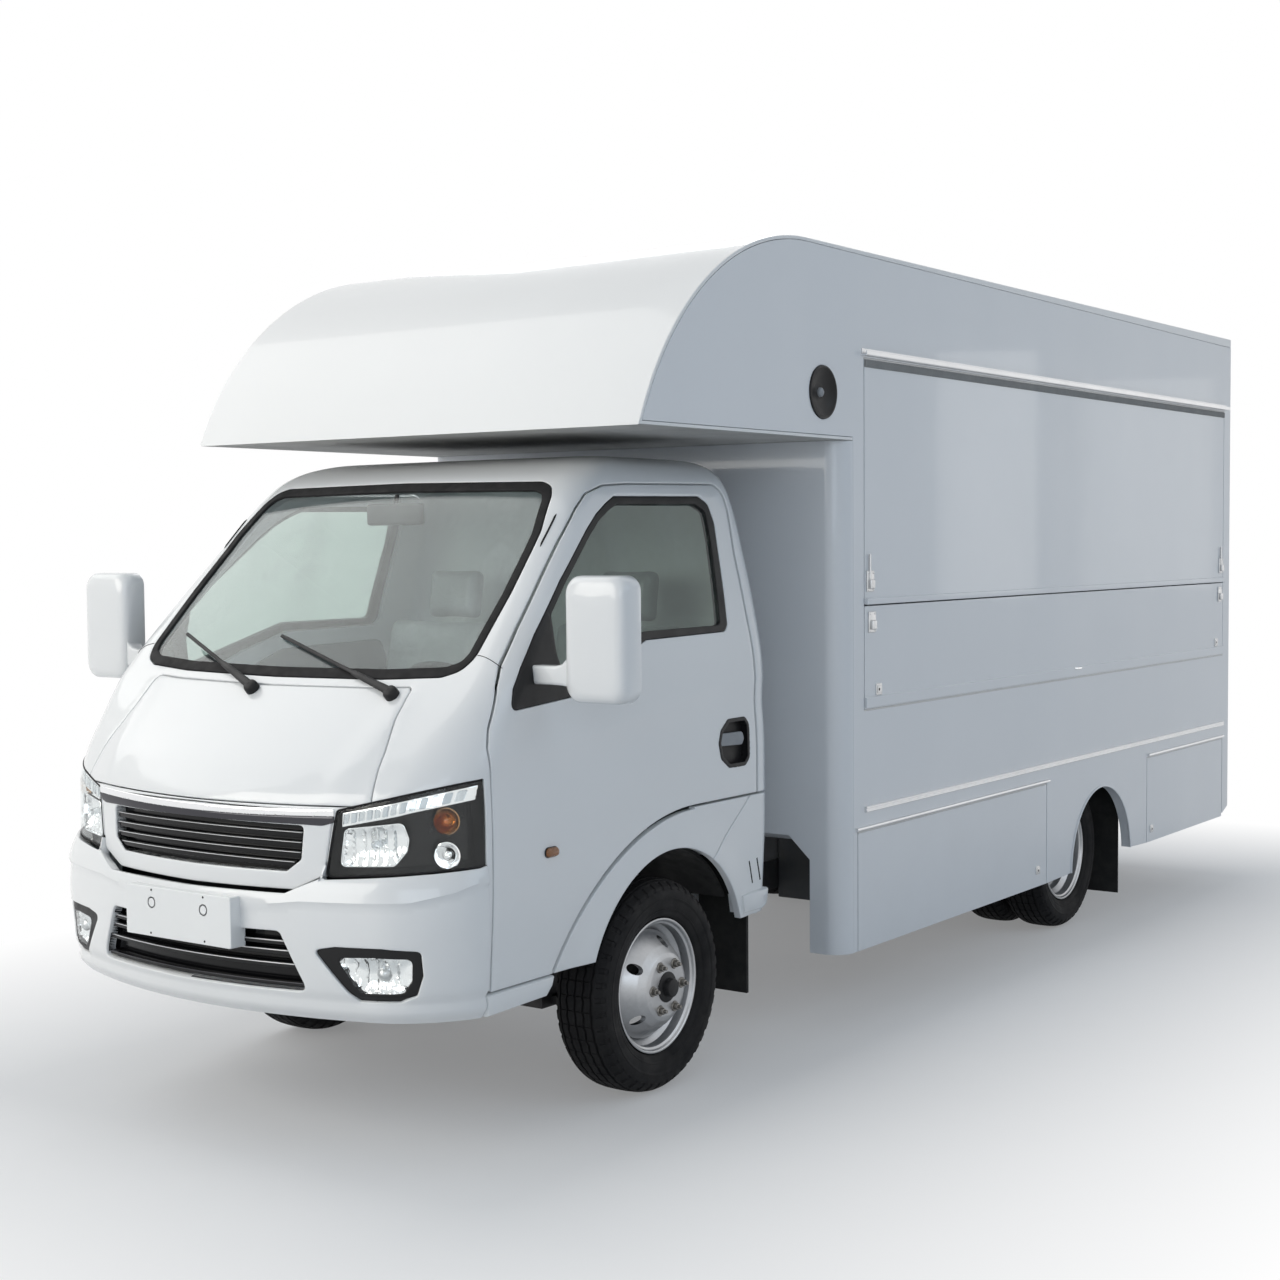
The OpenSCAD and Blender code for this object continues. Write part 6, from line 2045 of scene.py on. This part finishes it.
def make_stage():
    """A pale floor, a white background and soft studio lamps."""
    w = bpy.data.worlds.new("studio")
    scene.world = w
    w.use_nodes = True
    t = w.node_tree
    t.nodes.clear()
    out = t.nodes.new("ShaderNodeOutputWorld")
    seen = t.nodes.new("ShaderNodeBackground")
    seen.inputs["Color"].default_value = (1, 1, 1, 1)
    lit = t.nodes.new("ShaderNodeBackground")
    coord = t.nodes.new("ShaderNodeTexCoord")
    split = t.nodes.new("ShaderNodeSeparateXYZ")
    t.links.new(coord.outputs["Generated"], split.inputs[0])
    ramp = t.nodes.new("ShaderNodeValToRGB")
    t.links.new(split.outputs["Z"], ramp.inputs["Fac"])
    e = ramp.color_ramp.elements
    e[0].position, e[0].color = 0.0, (.60, .70, .85, 1)
    e[1].position, e[1].color = .55, (.80, .90, 1, 1)
    t.links.new(ramp.outputs["Color"], lit.inputs["Color"])
    lit.inputs["Strength"].default_value = .34
    path = t.nodes.new("ShaderNodeLightPath")
    either = [t.nodes.new("ShaderNodeMath") for _ in range(2)]
    for m in either:
        m.operation = "MAXIMUM"
    t.links.new(path.outputs["Is Camera Ray"], either[0].inputs[0])
    t.links.new(path.outputs["Is Glossy Ray"], either[0].inputs[1])
    t.links.new(either[0].outputs[0], either[1].inputs[0])
    t.links.new(path.outputs["Is Transmission Ray"], either[1].inputs[1])
    mix = t.nodes.new("ShaderNodeMixShader")
    t.links.new(either[1].outputs[0], mix.inputs[0])
    t.links.new(lit.outputs[0], mix.inputs[1])
    t.links.new(seen.outputs[0], mix.inputs[2])
    t.links.new(mix.outputs[0], out.inputs["Surface"])

    def lamp(name, place, target, size, power, color):
        data = bpy.data.lights.new(name, "AREA")
        data.shape = "RECTANGLE"
        data.size, data.size_y = size
        data.energy = power
        data.color = color
        o = bpy.data.objects.new(name, data)
        o.location = place
        o.rotation_euler = (Vector(target) - Vector(place)).to_track_quat("-Z", "Y").to_euler()
        scene.collection.objects.link(o)

    lamp("key", (-3.0, -9.5, 4.4), (0, -1.0, 1.2), (6, 5), 342, (1, .96, .885))
    lamp("fill", (5.5, -8.0, 3.2), (0, -.5, 1.3), (4, 3), 64, (.80, .90, 1))
    lamp("sky", (-6.3, -4.2, 7.9), (0, -2.4, 1.4), (7, 7), 180, (1, .985, .95))
    lamp("top", (0, 0, 9.0), (0, 0, 0), (8, 10), 40, (1, 1, 1))
    lamp("side", (9.5, .5, 6.0), (0, .5, 1.8), (8, 4), 92, (.68, .84, 1))
    lamp("back", (-6, 9, 6), (0, 1, 1.2), (6, 5), 220, (1, 1, 1))
    lamp("strip_near", (4.6, 8.0, 2.2), (.9, .5, 1.9), (.8, 2.0), 5, (1, .98, .94))
    lamp("strip_far", (4.6, 11.6, 2.2), (.9, 2.2, 1.9), (1.2, 2.0), 4, (1, .98, .94))

    mesh = bpy.data.meshes.new("floor")
    n, rings = 64, (0, 2, 4, 7, 12, 20, 40)
    verts, faces = [(0, 0, 0)], []
    for r in rings[1:]:
        verts += [(r * math.cos(2 * math.pi * i / n), r * math.sin(2 * math.pi * i / n), 0) for i in range(n)]
    faces += [(0, 1 + i, 1 + (i + 1) % n) for i in range(n)]
    for k in range(len(rings) - 2):
        a, b = 1 + k * n, 1 + (k + 1) * n
        faces += [(a + i, b + i, b + (i + 1) % n, a + (i + 1) % n) for i in range(n)]
    mesh.from_pydata(verts, [], faces)
    floor = bpy.data.objects.new("floor", mesh)
    scene.collection.objects.link(floor)
    g = Graph("pale_floor")
    diffuse = g.node("BsdfDiffuse")
    g.put(diffuse.inputs["Color"], g.mix(g.noise(4, 4), (.74, .75, .765), (.77, .775, .785)))
    glow = g.node("Emission")
    glow.inputs["Color"].default_value = (1, 1, 1, 1)
    x, y, _ = g.height()
    out_x, out_y = (g.math("MAXIMUM", g.math("SUBTRACT", g.math("ABSOLUTE", v), half), 0.0) for v,
                    half in ((x, .9), (y, 2.8)))
    away = g.math("SQRT", g.math("ADD", g.math("MULTIPLY", out_x, out_x), g.math("MULTIPLY", out_y, out_y)))
    far = g.math("ADD", g.math("MULTIPLY", g.span(away, .1, 1.9, 0, 1), .78), .22)
    path = g.node("LightPath")
    seen = g.math("MAXIMUM", path.outputs["Is Camera Ray"],
                  g.math("MAXIMUM", path.outputs["Is Glossy Ray"], path.outputs["Is Transmission Ray"]))
    mixed = g.node("MixShader")
    g.link(g.math("MULTIPLY", far, seen), mixed.inputs[0])
    g.link(diffuse.outputs[0], mixed.inputs[1])
    g.link(glow.outputs[0], mixed.inputs[2])
    g.link(mixed.outputs[0], g.out.inputs["Surface"])
    dress(floor, g.mat)


make_stage()
